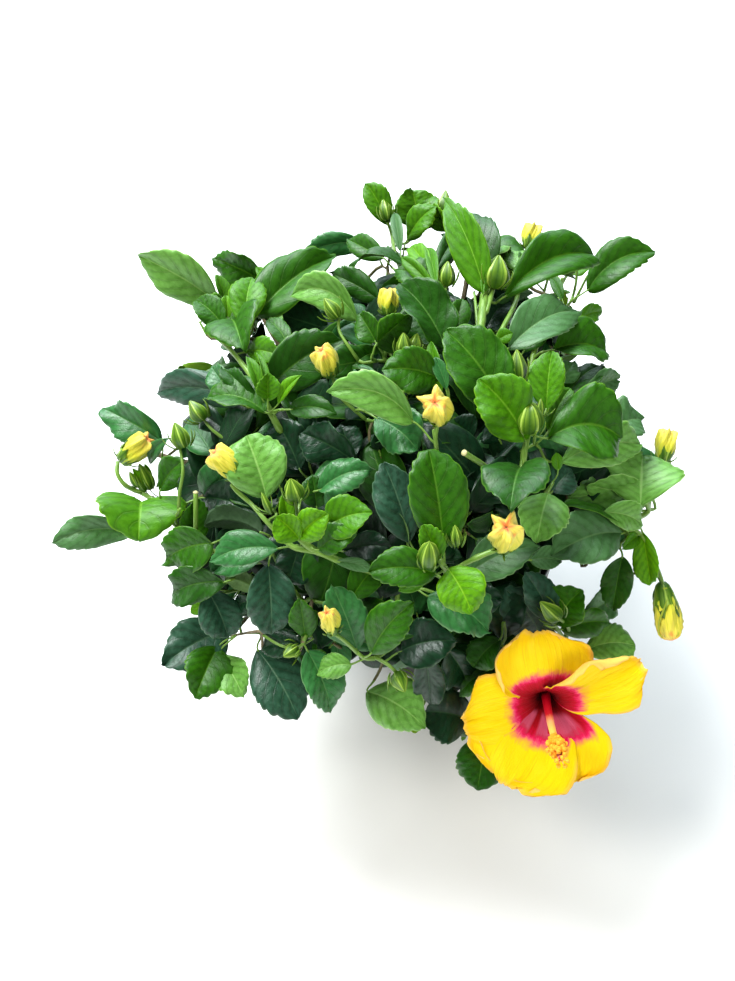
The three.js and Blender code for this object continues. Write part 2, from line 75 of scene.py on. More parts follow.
# ---------------------------------------------------------------- tables
# Each grown leaf that has a place of its own: name, foot, tip, width, roll, fold, arch, kind, where its stalk starts,
# and how far its midrib bows upwards as a share of its length.
# Kinds: Y young, B bright, M middle, D deep, T teal gloss, K dark gloss, P pale, G grey green, S slate,
# and N for the leaves inside, whose darker colour is painted shade from the crown around them.
# The bluish tint of T, G and S is partly the leaf's own dark green and partly painted sky sheen.
LEAVES = (
    ('L1', (-227, 120, 383), (-295, 133, 428), 43, -16, 14, 35, 'P', (-223, 113, 372), 0.085),
    ('L2', (-211, 101, 393), (-233, 76, 397), 31, 10, 26, 20, 'B', (-211, 96, 383), 0.085),
    ('L2c', (-210, 52, 410), (-236, 75, 422), 26, 0, 20, 20, 'M', None, 0.085),
    ('L3', (-204, 59, 414), (-187, 1, 429), 51, 4, 26, 10, 'M', (-205, 58, 408), 0.085),
    ('L4', (-191, 40, 423), (-186, 87, 438), 32, -10, 16, 25, 'B', (-195, 37, 415), 0.085),
    ('L4b', (-209, 69, 407), (-211, 87, 418), 14, 0, 30, 20, 'Y', None, 0.085),
    ('L5', (-219, 120, 383), (-228, 138, 403), 16, 20, 40, 10, 'B', None, 0.085),
    ('L6', (-188, 159, 379), (-234, 170, 399), 35, -24, 20, 40, 'M', (-183, 151, 368), 0.085),
    ('L7', (-178, 125, 402), (-190, 141, 409), 11, 0, 30, 10, 'B', None, 0.085),
    ('L8', (-181, 55, 422), (-112, 120, 436), 47, -20, 30, 16, 'M', (-186, 46, 410), 0.06),
    ('L9', (-87, 189, 401), (-148, 180, 395), 25, -14, 14, 24, 'T', (-71, 176, 385), 0.11),
    ('L9b', (-71, 126, 430), (-104, 158, 428), 22, -10, 14, 20, 'M', (-63, 122, 422), 0.0),
    ('L10', (-51, 90, 448), (-102, 86, 450), 22, 68, 16, 35, 'D', (-47, 89, 442), 0.085),
    ('L11', (-75, 60, 433), (-117, 97, 434), 24, -20, 10, 35, 'D', (-68, 58, 425), 0.085),
    ('L12', (-94, 18, 447), (-150, 47, 448), 29, -10, 20, 60, 'P', (-82, 4, 431), 0.26),
    ('L14', (-165, -26, 413), (-106, 2, 440), 42, -10, 12, 20, 'D', (-172, -30, 403), 0.085),
    ('L15', (-187, 13, 417), (-155, -6, 428), 23, 0, 10, 15, 'B', (-194, 18, 415), 0.085),
    ('L16', (-150, 9, 425), (-170, 40, 429), 17, 20, 12, 10, 'M', (-145, 7, 418), 0.085),
    ('L16b', (-158, 42, 421), (-171, 63, 422), 12, 0, 10, 10, 'P', None, 0.085),
    ('L17', (-189, -24, 395), (-271, 18, 365), 31, -16, 12, 22, 'S', (-178, -25, 389), 0.1),
    ('L17b', (-198, -22, 397), (-217, 8, 406), 18, -30, 26, 30, 'T', (-187, -24, 390), 0.085),
    ('L18a', (-174, -48, 414), (-202, -18, 427), 17, -20, 34, 30, 'D', (-170, -48, 408), 0.085),
    ('L18b', (-169, -47, 422), (-182, -18, 440), 13, 20, 36, 20, 'B', (-166, -50, 414), 0.085),
    ('L18c', (-164, -48, 425), (-174, -15, 441), 9, 30, 40, 12, 'B', (-164, -52, 416), 0.085),
    ('L18d', (-163, -56, 428), (-162, -47, 449), 19, 0, 30, 10, 'B', (-163, -59, 421), 0.085),
    ('L18e', (-155, -59, 427), (-136, -48, 447), 12, -30, 34, 20, 'Y', (-160, -61, 420), 0.085),
    ('L19', (-166, -56, 415), (-214, -42, 415), 27, 55, 16, 30, 'M', (-163, -55, 410), 0.085),
    ('L19c', (-206, -34, 372), (-236, -12, 371), 22, 0, 12, 14, 'K', None, 0.085),
    ('L20', (-145, -57, 419), (-109, -72, 429), 19, -10, 18, 20, 'D', (-153, -54, 416), 0.085),
    ('L21', (-163, -120, 386), (-178, -86, 420), 48, 0, 12, 25, 'P', (-156, -126, 376), 0.085),
    ('L22', (-224, -73, 330), (-171, -99, 335), 39, 10, 14, 20, 'K', (-232, -72, 326), 0.085),
    ('L23', (-171, -119, 342), (-218, -111, 342), 29, 150, 14, 30, 'K', (-165, -119, 337), 0.085),
    ('L24', (-234, -105, 308), (-226, -85, 344), 25, 10, 16, 20, 'M', (-236, -105, 302), 0.085),
    ('L25', (-210, -127, 338), (-254, -124, 308), 39, 0, 6, 25, 'M', (-203, -122, 336), 0.085),
    ('L26', (-154, -149, 361), (-207, -151, 347), 29, 8, 14, 18, 'T', (-141, -145, 359), 0.085),
    ('L27', (-139, -133, 344), (-149, -157, 323), 32, 0, 10, 20, 'K', (-135, -128, 344), 0.085),
    ('L27b', (-127, -133, 335), (-135, -154, 311), 29, -10, 10, 20, 'K', None, 0.085),
    ('L28', (-171, -136, 328), (-212, -134, 308), 27, 20, 14, 20, 'T', (-163, -131, 326), 0.085),
    ('S1', (-267, -19, 343), (-322, 13, 352), 33, -12, 14, 30, 'T', (-267, -33, 326), 0.05),
    ('S2', (-254, -36, 364), (-277, -32, 327), 14, 30, 18, 30, 'T', (-248, -35, 360), 0.085),
    ('S3', (-260, -72, 339), (-235, -67, 371), 25, -12, 14, 15, 'M', (-261, -74, 331), 0.085),
    ('S5a', (-281, -49, 309), (-292, -37, 327), 9, 0, 34, 10, 'Y', None, 0.085),
    ('S5b', (-279, -44, 306), (-283, -29, 324), 8, 20, 34, 10, 'Y', None, 0.085),
    ('S6', (-282, -62, 310), (-274, -115, 325), 73, 2, 14, 34, 'B', (-268, -62, 305), 0.21),
    ('S7', (-292, -85, 297), (-352, -105, 308), 29, -16, 16, 30, 'G', (-275, -78, 298), 0.13),
    ('L29', (-176, -150, 305), (-202, -143, 311), 20, 160, 10, 20, 'G', None, 0.085),
    ('L30', (-201, -148, 314), (-249, -144, 288), 32, 0, 14, 35, 'D', (-196, -145, 312), 0.085),
    ('L31', (-218, -143, 294), (-202, -170, 261), 35, -14, 26, 25, 'S', (-199, -135, 295), 0.085),
    ('L32', (-210, -147, 235), (-259, -183, 239), 47, -10, 14, 22, 'S', (-205, -148, 229), 0.085),
    ('L33a', (-215, -164, 237), (-229, -211, 235), 40, -8, 12, 25, 'M', (-207, -154, 240), 0.085),
    ('L33b', (-213, -171, 235), (-189, -208, 231), 31, 10, 12, 20, 'P', (-206, -158, 240), 0.085),
    ('L34', (-163, -151, 343), (-161, -192, 305), 39, 0, 14, 30, 'S', (-162, -144, 344), 0.085),
    ('L34b', (-195, -150, 281), (-180, -154, 293), 18, 0, 10, 10, 'K', None, 0.085),
    ('L34c', (-197, -149, 264), (-182, -148, 279), 12, 40, 20, 20, 'K', None, 0.085),
    ('L35', (-135, -191, 300), (-138, -179, 338), 23, 0, 14, 18, 'M', (-137, -197, 290), 0.085),
    ('L37', (-94, -202, 299), (-113, -174, 349), 34, 0, 14, 15, 'T', (-87, -204, 293), 0.085),
    ('L38', (-98, -210, 291), (-126, -212, 279), 20, 0, 10, 12, 'P', (-92, -204, 290), 0.085),
    ('L39', (-134, -192, 279), (-118, -203, 273), 16, 10, 10, 10, 'M', None, 0.085),
    ('L40', (-133, -199, 293), (-115, -231, 251), 32, -12, 16, 20, 'T', (-136, -191, 295), 0.085),
    ('L41', (-179, -172, 247), (-143, -225, 227), 46, -5, 14, 25, 'S', (-176, -161, 251), 0.085),
    ('L41b', (-139, -184, 276), (-174, -178, 258), 24, 10, 10, 12, 'K', None, 0.085),
    ('T1', (-66, 169, 435), (-87, 193, 464), 24, 10, 24, 22, 'B', (-62, 158, 420), 0.085),
    ('T1c', (-56, 124, 438), (-61, 168, 449), 13, -10, 30, 10, 'G', None, 0.085),
    ('T2', (-37, 179, 426), (-44, 201, 453), 44, 0, 16, 20, 'B', (-28, 184, 425), 0.085),
    ('T3', (-49, 159, 426), (-23, 165, 458), 24, -30, 16, 15, 'B', (-53, 149, 413), 0.085),
    ('T3b', (-37, 168, 435), (-16, 165, 448), 13, 40, 30, 15, 'M', None, 0.085),
    ('T4', (11, 44, 455), (-21, 128, 490), 30, 6, 18, 30, 'B', (9, 39, 445), 0.12),
    ('T4b', (-13, 161, 434), (-25, 170, 458), 17, -40, 20, 15, 'Y', None, 0.085),
    ('T5', (20, 84, 437), (4, 156, 456), 30, 22, 16, 35, 'D', (18, 76, 426), 0.085),
    ('T5b', (28, 115, 429), (27, 154, 443), 8, 30, 40, 10, 'D', None, 0.085),
    ('T6n', (9, 38, 456), (11, 63, 461), 5, 0, 40, 5, 'B', None, 0.085),
    ('T7', (29, 45, 450), (109, 94, 455), 43, -16, 32, 22, 'M', (22, 44, 444), 0.12),
    ('T8', (90, 94, 408), (82, 125, 412), 11, 0, 14, 10, 'M', None, 0.085),
    ('T9', (114, 105, 410), (172, 119, 441), 36, -20, 30, 20, 'M', (104, 103, 403), 0.16),
    ('T10', (27, -10, 441), (94, 44, 434), 40, -14, 14, 18, 'G', (19, -10, 436), 0.085),
    ('T11', (98, 59, 411), (124, 79, 406), 17, 0, 12, 10, 'B', (92, 58, 405), 0.085),
    ('T12', (68, 8, 424), (117, 18, 410), 36, -34, 30, 25, 'M', (61, 10, 420), 0.085),
    ('T12b', (71, 4, 414), (92, 16, 412), 8, 140, 20, 20, 'G', None, 0.085),
    ('T13', (20, 50, 438), (58, 72, 432), 15, 30, 14, 20, 'G', None, 0.085),
    ('T13b', (13, 27, 429), (34, 60, 434), 22, 0, 10, 10, 'K', None, 0.085),
    ('T14', (17, -10, 449), (29, -8, 455), 13, 0, 12, 8, 'B', None, 0.085),
    ('C1', (-24, -29, 454), (-61, 21, 481), 33, 26, 20, 16, 'D', (-20, -33, 445), 0.085),
    ('C2a', (-32, 46, 457), (-57, 80, 463), 15, -20, 30, 15, 'B', (-28, 44, 451), 0.085),
    ('C2b', (-32, 56, 454), (-48, 121, 445), 17, 0, 26, 12, 'Y', (-27, 51, 445), 0.085),
    ('C2c', (-29, 47, 459), (-34, 106, 455), 12, 0, 34, 8, 'B', (-27, 43, 451), 0.085),
    ('C4', (-25, 95, 440), (-3, 148, 436), 19, 0, 14, 20, 'D', (-20, 88, 429), 0.085),
    ('C6', (-17, 0, 450), (-9, 28, 461), 18, 20, 18, 15, 'M', (-16, -5, 441), 0.085),
    ('C7', (-25, 52, 447), (-63, 79, 451), 29, 30, 12, 22, 'M', (-19, 48, 438), 0.085),
    ('C9', (-79, -17, 451), (-51, 2, 468), 28, 55, 22, 15, 'M', (-82, -21, 443), 0.085),
    ('C9b', (-79, -12, 449), (-92, 9, 461), 19, -30, 20, 20, 'M', None, 0.085),
    ('C10', (-61, 13, 434), (-32, 35, 441), 25, 0, 10, 10, 'D', None, 0.085),
    ('C10b', (-33, 1, 436), (-56, 34, 448), 24, 0, 10, 10, 'D', None, 0.085),
    ('C13a', (-30, -62, 439), (-37, -28, 464), 15, -20, 30, 15, 'B', (-27, -65, 431), 0.085),
    ('C13b', (-26, -63, 446), (-35, -44, 462), 12, 10, 20, 10, 'T', None, 0.085),
    ('C14', (-32, -53, 449), (-75, -56, 460), 35, 0, 14, 16, 'M', (-26, -55, 443), 0.085),
    ('C15', (-52, -86, 436), (-116, -73, 453), 30, -14, 22, 40, 'P', (-36, -95, 424), 0.22),
    ('C16', (-79, -71, 424), (-47, -100, 417), 35, -6, 12, 18, 'T', (-87, -64, 424), 0.085),
    ('C17', (-54, -153, 375), (-74, -112, 418), 35, 8, 14, 18, 'S', (-50, -156, 366), 0.085),
    ('C17b', (-55, -155, 373), (-76, -137, 396), 15, 120, 20, 20, 'G', None, 0.085),
    ('C18b', (-41, -127, 392), (-44, -97, 414), 20, -20, 16, 10, 'K', None, 0.085),
    ('C18', (-30, -169, 388), (-42, -123, 445), 44, 4, 10, 18, 'M', (-28, -174, 378), 0.085),
    ('C19', (-35, -178, 387), (-46, -167, 414), 19, -6, 18, 12, 'B', (-33, -179, 381), 0.085),
    ('C20', (-35, -184, 377), (-85, -189, 387), 29, 4, 14, 16, 'M', (-28, -178, 376), 0.085),
    ('C20b', (-44, -185, 366), (-63, -193, 368), 12, 0, 16, 10, 'B', None, 0.085),
    ('C20c', (-110, -163, 363), (-81, -172, 364), 11, 20, 12, 8, 'G', (-120, -157, 362), 0.085),
    ('C21', (-27, -183, 382), (-11, -214, 371), 36, 0, 12, 22, 'Y', (-27, -178, 381), 0.085),
    ('C22', (-40, -178, 339), (7, -200, 322), 35, -22, 14, 18, 'T', (-47, -172, 339), 0.085),
    ('C24', (-10, -168, 353), (45, -153, 369), 33, -14, 14, 14, 'G', (-16, -167, 348), 0.085),
    ('C25', (29, -114, 416), (13, -170, 433), 49, 0, 16, 20, 'D', (33, -105, 418), 0.085),
    ('C26', (53, -117, 389), (40, -159, 381), 38, 0, 12, 24, 'P', (57, -109, 390), 0.085),
    ('C27', (20, -71, 430), (-26, -24, 471), 49, 14, 14, 20, 'M', (27, -75, 421), 0.085),
    ('C28', (32, -99, 429), (-4, -70, 464), 43, 12, 30, 14, 'B', (35, -103, 421), 0.085),
    ('C29', (51, -70, 431), (56, -33, 458), 28, -10, 22, 12, 'B', (44, -75, 421), 0.085),
    ('C29b', (55, -74, 412), (74, -42, 428), 20, -10, 14, 14, 'B', None, 0.085),
    ('C30', (-56, -37, 413), (-66, -5, 429), 32, 0, 10, 10, 'K', None, 0.085),
    ('C31', (-4, -68, 396), (-20, -55, 405), 29, 0, 10, 10, 'K', None, 0.085),
    ('C32', (19, -72, 400), (8, -63, 408), 24, 0, 10, 10, 'K', None, 0.085),
    ('C33', (-104, -147, 354), (-67, -146, 358), 23, 0, 10, 14, 'K', None, 0.085),
    ('C34', (-98, -167, 319), (-73, -148, 342), 27, 0, 10, 10, 'M', None, 0.085),
    ('I1', (-95, -93, 397), (-137, -74, 411), 34, -25, 16, 20, 'K', (-87, -93, 391), 0.085),
    ('I1b', (-98, -88, 395), (-107, -64, 410), 28, 0, 14, 10, 'K', None, 0.085),
    ('I2', (-125, -122, 377), (-128, -105, 397), 23, 0, 12, 10, 'D', None, 0.085),
    ('I2b', (-122, -115, 390), (-82, -109, 407), 26, -24, 18, 20, 'T', (-131, -114, 386), 0.085),
    ('I3', (-118, -147, 383), (-82, -145, 400), 32, -8, 16, 18, 'B', (-127, -148, 377), 0.085),
    ('I3b', (-114, -137, 381), (-99, -125, 397), 26, 0, 12, 10, 'T', None, 0.085),
    ('I4', (-123, -159, 372), (-93, -155, 390), 23, -4, 14, 14, 'M', (-131, -154, 371), 0.085),
    ('I5', (-136, -155, 384), (-114, -151, 406), 25, 0, 24, 10, 'Y', (-142, -150, 383), 0.085),
    ('I5b', (-136, -157, 382), (-153, -148, 399), 22, -20, 26, 12, 'Y', (-142, -150, 383), 0.085),
    ('I5c', (-145, -145, 381), (-149, -129, 402), 14, 10, 26, 10, 'Y', None, 0.085),
    ('I6', (-140, -82, 376), (-160, -46, 396), 37, 0, 10, 10, 'K', None, 0.085),
    ('I7', (-135, -61, 388), (-116, -34, 407), 32, 0, 10, 10, 'K', None, 0.085),
    ('R1', (51, -90, 421), (109, -85, 416), 58, -12, 24, 16, 'M', (39, -89, 416), 0.17),
    ('R1b', (78, -23, 398), (112, 13, 401), 33, -20, 12, 14, 'D', None, 0.085),
    ('R1c', (73, -16, 408), (88, 6, 412), 21, 0, 12, 14, 'G', None, 0.085),
    ('R1d', (93, -22, 402), (125, 1, 397), 26, 20, 12, 14, 'G', None, 0.085),
    ('R2a', (106, -57, 389), (143, -33, 383), 36, -10, 10, 20, 'G', (97, -57, 384), 0.085),
    ('R2b', (66, -88, 392), (135, -62, 385), 36, -6, 14, 24, 'P', (58, -85, 389), 0.085),
    ('R2c', (61, -103, 399), (58, -97, 413), 9, 0, 12, 8, 'B', None, 0.085),
    ('R3', (150, -77, 324), (92, -85, 360), 34, -14, 12, 20, 'P', (159, -77, 319), 0.085),
    ('R3b', (147, -79, 320), (76, -94, 352), 31, 20, 12, 20, 'P', None, 0.085),
    ('R4', (137, -97, 349), (144, -54, 362), 65, 0, 8, 14, 'P', (139, -98, 342), 0.085),
    ('R5', (121, -117, 338), (57, -150, 352), 44, -4, 14, 20, 'G', (131, -113, 337), 0.085),
    ('R5b', (127, -116, 330), (64, -119, 373), 20, 62, 18, 25, 'M', (137, -115, 326), 0.085),
    ('R6', (101, -113, 360), (138, -111, 341), 24, -10, 12, 18, 'P', None, 0.085),
    ('R7', (141, -109, 329), (149, -140, 299), 21, 14, 26, 20, 'Y', (136, -103, 329), 0.085),
    ('R7b', (140, -109, 324), (120, -128, 331), 15, -30, 20, 15, 'B', None, 0.085),
    ('R9', (123, -127, 320), (119, -152, 280), 26, -6, 10, 16, 'D', (122, -119, 321), 0.085),
    ('R9b', (136, -119, 242), (100, -147, 256), 28, 0, 12, 14, 'G', None, 0.085),
    ('R10', (66, -176, 296), (84, -162, 324), 37, 0, 14, 16, 'M', (64, -180, 287), 0.085),
    ('R11', (74, -171, 278), (119, -156, 265), 25, 20, 20, 14, 'M', None, 0.085),
    ('R12', (101, -167, 236), (141, -170, 251), 33, 0, 10, 24, 'P', (93, -165, 232), 0.1),
    ('R13', (63, -173, 294), (37, -155, 338), 27, 12, 16, 12, 'S', (69, -176, 286), 0.085),
    ('R14', (64, -169, 255), (26, -150, 308), 42, -6, 12, 14, 'S', None, 0.085),
    ('R14b', (24, -175, 269), (32, -144, 310), 36, 10, 12, 14, 'K', None, 0.085),
    ('R15', (41, -150, 347), (65, -150, 345), 19, 0, 12, 12, 'G', None, 0.085),
    ('R16', (60, -103, 373), (77, -87, 381), 28, 0, 12, 12, 'S', None, 0.085),
    ('F1', (-83, -210, 307), (-51, -195, 357), 32, -10, 16, 14, 'M', (-87, -212, 301), 0.085),
    ('F2', (-60, -203, 298), (-16, -203, 313), 38, -6, 14, 18, 'K', (-69, -204, 293), 0.085),
    ('F3', (-86, -199, 224), (-38, -234, 228), 46, 0, 12, 22, 'P', (-80, -190, 227), 0.085),
    ('F4', (3, -217, 205), (-38, -213, 214), 44, -8, 12, 16, 'K', (11, -217, 200), 0.085),
    ('F5', (-39, -198, 283), (-33, -214, 232), 27, 0, 12, 14, 'K', (-40, -190, 285), 0.085),
    ('F6', (-21, -191, 280), (1, -199, 227), 36, 0, 12, 14, 'K', None, 0.085),
    ('F7', (17, -225, 191), (7, -265, 175), 43, -8, 12, 18, 'D', (24, -218, 191), 0.085),
    ('F8', (25, -195, 260), (-9, -207, 232), 25, 45, 18, 20, 'M', None, 0.085),
    ('F9', (21, -186, 288), (1, -201, 269), 27, 30, 16, 14, 'D', None, 0.085),
    ('F10', (-11, -171, 314), (20, -166, 316), 35, 0, 12, 14, 'K', None, 0.085),
)
SHOOTS = (
    ('st_tl', ((-216, 46, 404), (-196, 11, 415), (-176, -23, 415), (-165, -46, 410), (-157, -55, 396), (-152, -50, 372)), (1.6, 2.0, 2.2, 2.6, 2.8, 2.8), 'g'),
    ('st_tl2', ((-204, 59, 411), (-205, 32, 412), (-191, 3, 415)), (1.3, 1.5, 1.8), 'g'),
    ('st_u1', ((-62, 163, 417), (-59, 101, 444), (-50, 58, 446), (-42, 28, 439), (-36, 7, 425)), (1.4, 1.6, 2.0, 2.2, 2.6), 'g'),
    ('st_u2', ((-30, 53, 456), (-26, 33, 456), (-20, 3, 449), (-15, -13, 440), (-10, -27, 423)), (1.5, 1.8, 2.0, 2.2, 2.6), 'g'),
    ('st_u3', ((13, 65, 449), (10, 37, 452), (6, 10, 451), (4, -7, 445), (6, -21, 426)), (2.0, 3.4, 3.4, 3.2, 3.0), 'g'),
    ('st_u3b', ((3, 48, 452), (3, 26, 451), (3, 6, 446)), (1.1, 1.2, 1.4), 'g'),
    ('st_tr', ((46, 75, 435), (37, 43, 441), (25, 15, 441), (17, 3, 433)), (1.8, 2.0, 2.2, 2.4), 'g'),
    ('st_tr2', ((95, 128, 406), (95, 127, 391), (81, 76, 415)), (1.4, 1.4, 1.6), 'g'),
    ('st_t8', ((107, 131, 416), (108, 126, 403), (106, 122, 386), (82, 61, 416)), (1.2, 1.3, 1.4, 1.6), 'g'),
    ('st_t8b', ((116, 122, 413), (113, 122, 400), (109, 121, 384)), (1.1, 1.2, 1.4), 'g'),
    ('st_c1', ((-36, -94, 435), (-34, -103, 420), (-38, -110, 397), (-41, -118, 372)), (1.6, 1.8, 2.2, 2.6), 'g'),
    ('st_cr', ((35, -92, 426), (32, -103, 420), (31, -110, 412), (29, -113, 390), (25, -120, 359)), (2.2, 2.4, 2.6, 2.8, 3.0), 'g'),
    ('st_lf', ((-190, -110, 389), (-177, -122, 386), (-163, -138, 382), (-149, -149, 372), (-140, -153, 367), (-123, -156, 366), (-106, -162, 362), (-88, -163, 353), (-63, -152, 322)), (1.3, 1.5, 1.8, 2.1, 2.6, 2.8, 2.6, 2.6, 2.6), 'g'),
    ('st_lf2', ((-142, -149, 382), (-132, -154, 373), (-123, -155, 364)), (2.0, 2.6, 2.8), 'g'),
    ('st_ct', ((-33, -178, 386), (-27, -178, 368), (-27, -177, 335), (-29, -176, 298)), (2.2, 2.4, 2.6, 2.8), 'g'),
    ('st_sp', ((-277, -50, 302), (-258, -83, 324), (-243, -101, 325), (-230, -114, 318), (-213, -117, 313)), (2.4, 2.4, 2.4, 2.4, 2.4), 'g'),
    ('st_sp2', ((-239, -96, 344), (-245, -98, 329), (-233, -109, 318)), (1.2, 1.4, 1.6), 'g'),
    ('st_ll', ((-205, -148, 230), (-175, -174, 281), (-172, -175, 278)), (1.0, 1.1, 1.2), 'b'),
    ('st_ll2', ((-174, -175, 252), (-172, -175, 278), (-172, -160, 287), (-165, -131, 321)), (1.1, 1.2, 1.4, 1.8), 'b'),
    ('st_ll3', ((-136, -194, 300), (-140, -191, 280), (-134, -183, 300), (-130, -163, 310)), (1.3, 1.2, 1.4, 1.6), 'b'),
    ('st_fl', ((-94, -205, 301), (-87, -206, 293), (-76, -199, 285), (-62, -183, 281)), (1.5, 1.8, 2.0, 2.2), 'g'),
    ('st_r1', ((145, -67, 359), (145, -85, 342), (150, -87, 328), (129, -102, 336), (104, -107, 337)), (1.4, 2.0, 2.2, 2.2, 2.4), 'g'),
    ('st_r2', ((138, -112, 331), (127, -112, 340), (112, -111, 343)), (1.4, 1.6, 1.8), 'g'),
    ('st_r3', ((68, -175, 287), (84, -163, 249), (74, -150, 290)), (1.6, 1.8, 2.0), 'g'),
    ('st_ru', ((89, 102, 405), (71, 58, 419), (57, 24, 414), (49, -3, 401)), (1.8, 2.2, 2.4, 2.6), 'g'),
)
STALKS = (
    ('pd_spr', ((-304, -34, 332), (-303, -45, 328), (-296, -51, 319), (-285, -51, 310), (-272, -60, 311)), (1.9, 1.9, 2.0, 2.1, 2.2), 'g'),
    ('pd_long', ((-239, -59, 379), (-235, -78, 371), (-239, -88, 355), (-241, -94, 342)), (1.3, 1.3, 1.4, 1.6), 'g'),
    ('pd_l22', ((-190, -111, 392), (-185, -117, 390), (-175, -124, 385)), (1.7, 1.7, 1.7), 'g'),
    ('pd_star2', ((13, -170, 390), (2, -173, 388), (-11, -176, 382), (-24, -177, 369)), (1.9, 2.0, 2.0, 2.2), 'g'),
    ('pd_star1', ((-33, -91, 442), (-35, -98, 433), (-34, -103, 422)), (1.7, 1.7, 1.7), 'g'),
    ('pd_330', ((-109, 15, 451), (-108, 3, 447), (-100, -9, 441), (-93, -13, 431)), (1.2, 1.2, 1.3, 1.5), 'g'),
    ('pd_325', ((-113, -39, 438), (-109, -50, 431), (-101, -55, 423), (-87, -56, 407)), (1.3, 1.3, 1.4, 1.6), 'g'),
    ('pd_388', ((-68, 10, 457), (-69, -9, 449), (-72, -14, 436)), (1.4, 1.4, 1.6), 'g'),
    ('pd_hang', ((155, -110, 288), (159, -123, 290), (161, -132, 290)), (1.3, 1.2, 1.2), 'g'),
    ('pd_665', ((174, -35, 330), (172, -40, 320), (153, -76, 333)), (1.5, 1.5, 1.6), 'g'),
    ('pd_328', ((-113, -202, 326), (-104, -203, 316), (-94, -205, 301)), (1.5, 1.5, 1.6), 'g'),
    ('pd_292', ((-140, -130, 397), (-139, -134, 387), (-137, -142, 375)), (1.2, 1.3, 1.5), 'g'),
    ('pd_405', ((-57, -30, 449), (-56, -37, 440), (-52, -42, 426)), (1.4, 1.5, 1.6), 'g'),
    ('pd_517', ((31, -47, 435), (33, -57, 428), (34, -81, 421)), (1.4, 1.5, 1.6), 'g'),
    ('pd_497', ((19, 52, 451), (15, 37, 452), (11, 22, 452)), (2.0, 2.0, 2.0), 'g'),
    ('pd_447', ((-20, 56, 452), (-22, 42, 453), (-22, 26, 450)), (1.4, 1.5, 1.6), 'g'),
    ('pd_385', ((-67, 167, 440), (-63, 165, 428), (-61, 135, 432)), (1.4, 1.5, 1.6), 'g'),
    ('pd_195', ((-223, -28, 378), (-215, -37, 375), (-204, -42, 368)), (1.2, 1.3, 1.5), 'g'),
    ('pd_400', ((-63, -216, 289), (-70, -210, 291), (-79, -203, 289)), (1.4, 1.5, 1.6), 'g'),
    ('pd_290', ((-142, -196, 291), (-137, -195, 296), (-134, -191, 302)), (1.2, 1.3, 1.4), 'g'),
    ('pd_550', ((66, -180, 310), (79, -172, 282), (83, -164, 251)), (1.4, 1.5, 1.6), 'g'),
    ('stub1', ((-225, -91, 358), (-226, -102, 342), (-229, -110, 316)), (2.0, 2.0, 2.1), 's'),
    ('stub2', ((-16, -123, 441), (-1, -119, 424), (16, -116, 403)), (2.2, 2.1, 2.1), 's'),
)
BUDS = (
    ('b385', 'green', (-67, 166, 442), (-71, 180, 456), 12.9),
    ('b444', 'pale', (-16, 173, 443), (-13, 191, 458), 13.0),
    ('b447', 'green', (-20, 54, 453), (-19, 66, 469), 14.2),
    ('b497', 'big', (19, 51, 453), (23, 67, 474), 25.0),
    ('b330', 'green', (-109, 12, 454), (-120, 21, 466), 12.1),
    ('b405', 'green', (-57, -34, 452), (-58, -26, 470), 13.1),
    ('b415', 'green', (-49, -25, 448), (-47, -16, 461), 12.5),
    ('b518', 'green', (31, -49, 438), (29, -33, 459), 14.7),
    ('b528', 'bigs', (35, -94, 431), (34, -84, 452), 20.9),
    ('b428', 'bigs', (-42, -184, 387), (-42, -180, 410), 15.1),
    ('b455', 'green', (-21, -172, 395), (-23, -164, 409), 8.7),
    ('b292', 'green', (-139, -133, 400), (-142, -128, 418), 14.9),
    ('b180', 'green', (-234, -63, 382), (-241, -51, 398), 14.6),
    ('b195', 'green', (-222, -31, 381), (-233, -22, 394), 15.0),
    ('b550', 'green', (66, -180, 309), (49, -175, 326), 14.2),
    ('b400', 'green', (-63, -216, 289), (-57, -232, 288), 14.1),
    ('b290', 'green', (-141, -197, 294), (-151, -207, 298), 11.1),
    ('b540', 'small', (45, -79, 432), (45, -70, 444), 6.1),
    ('b140', 'small', (-281, -50, 310), (-290, -42, 322), 7.0),
    ('b141', 'green', (-277, -46, 309), (-286, -33, 328), 13.3),
    ('b128', 'small', (-287, -48, 314), (-294, -40, 326), 7.9),
    ('b262', 'small', (-158, -137, 388), (-165, -127, 402), 6.0),
    ('y388', 'yel', (-68, 9, 459), (-69, 22, 475), 19.1),
    ('y325', 'yel', (-113, -42, 443), (-121, -41, 467), 21.7),
    ('y225', 'yel', (-183, -108, 399), (-201, -104, 421), 22.9),
    ('y134', 'yel', (-300, -35, 334), (-275, -26, 354), 24.4),
    ('y665', 'yel', (173, -34, 331), (179, -12, 349), 19.3),
    ('y530', 'yel', (65, 153, 420), (70, 171, 435), 20.5),
    ('s435', 'star', (-32, -91, 444), (-38, -100, 470), 25.8),
    ('s505', 'star', (13, -169, 391), (11, -176, 424), 26.2),
    ('y328', 'yel', (-112, -202, 326), (-116, -200, 351), 16.7),
    ('h667', 'hang', (161, -133, 292), (167, -174, 266), 19.3),
)

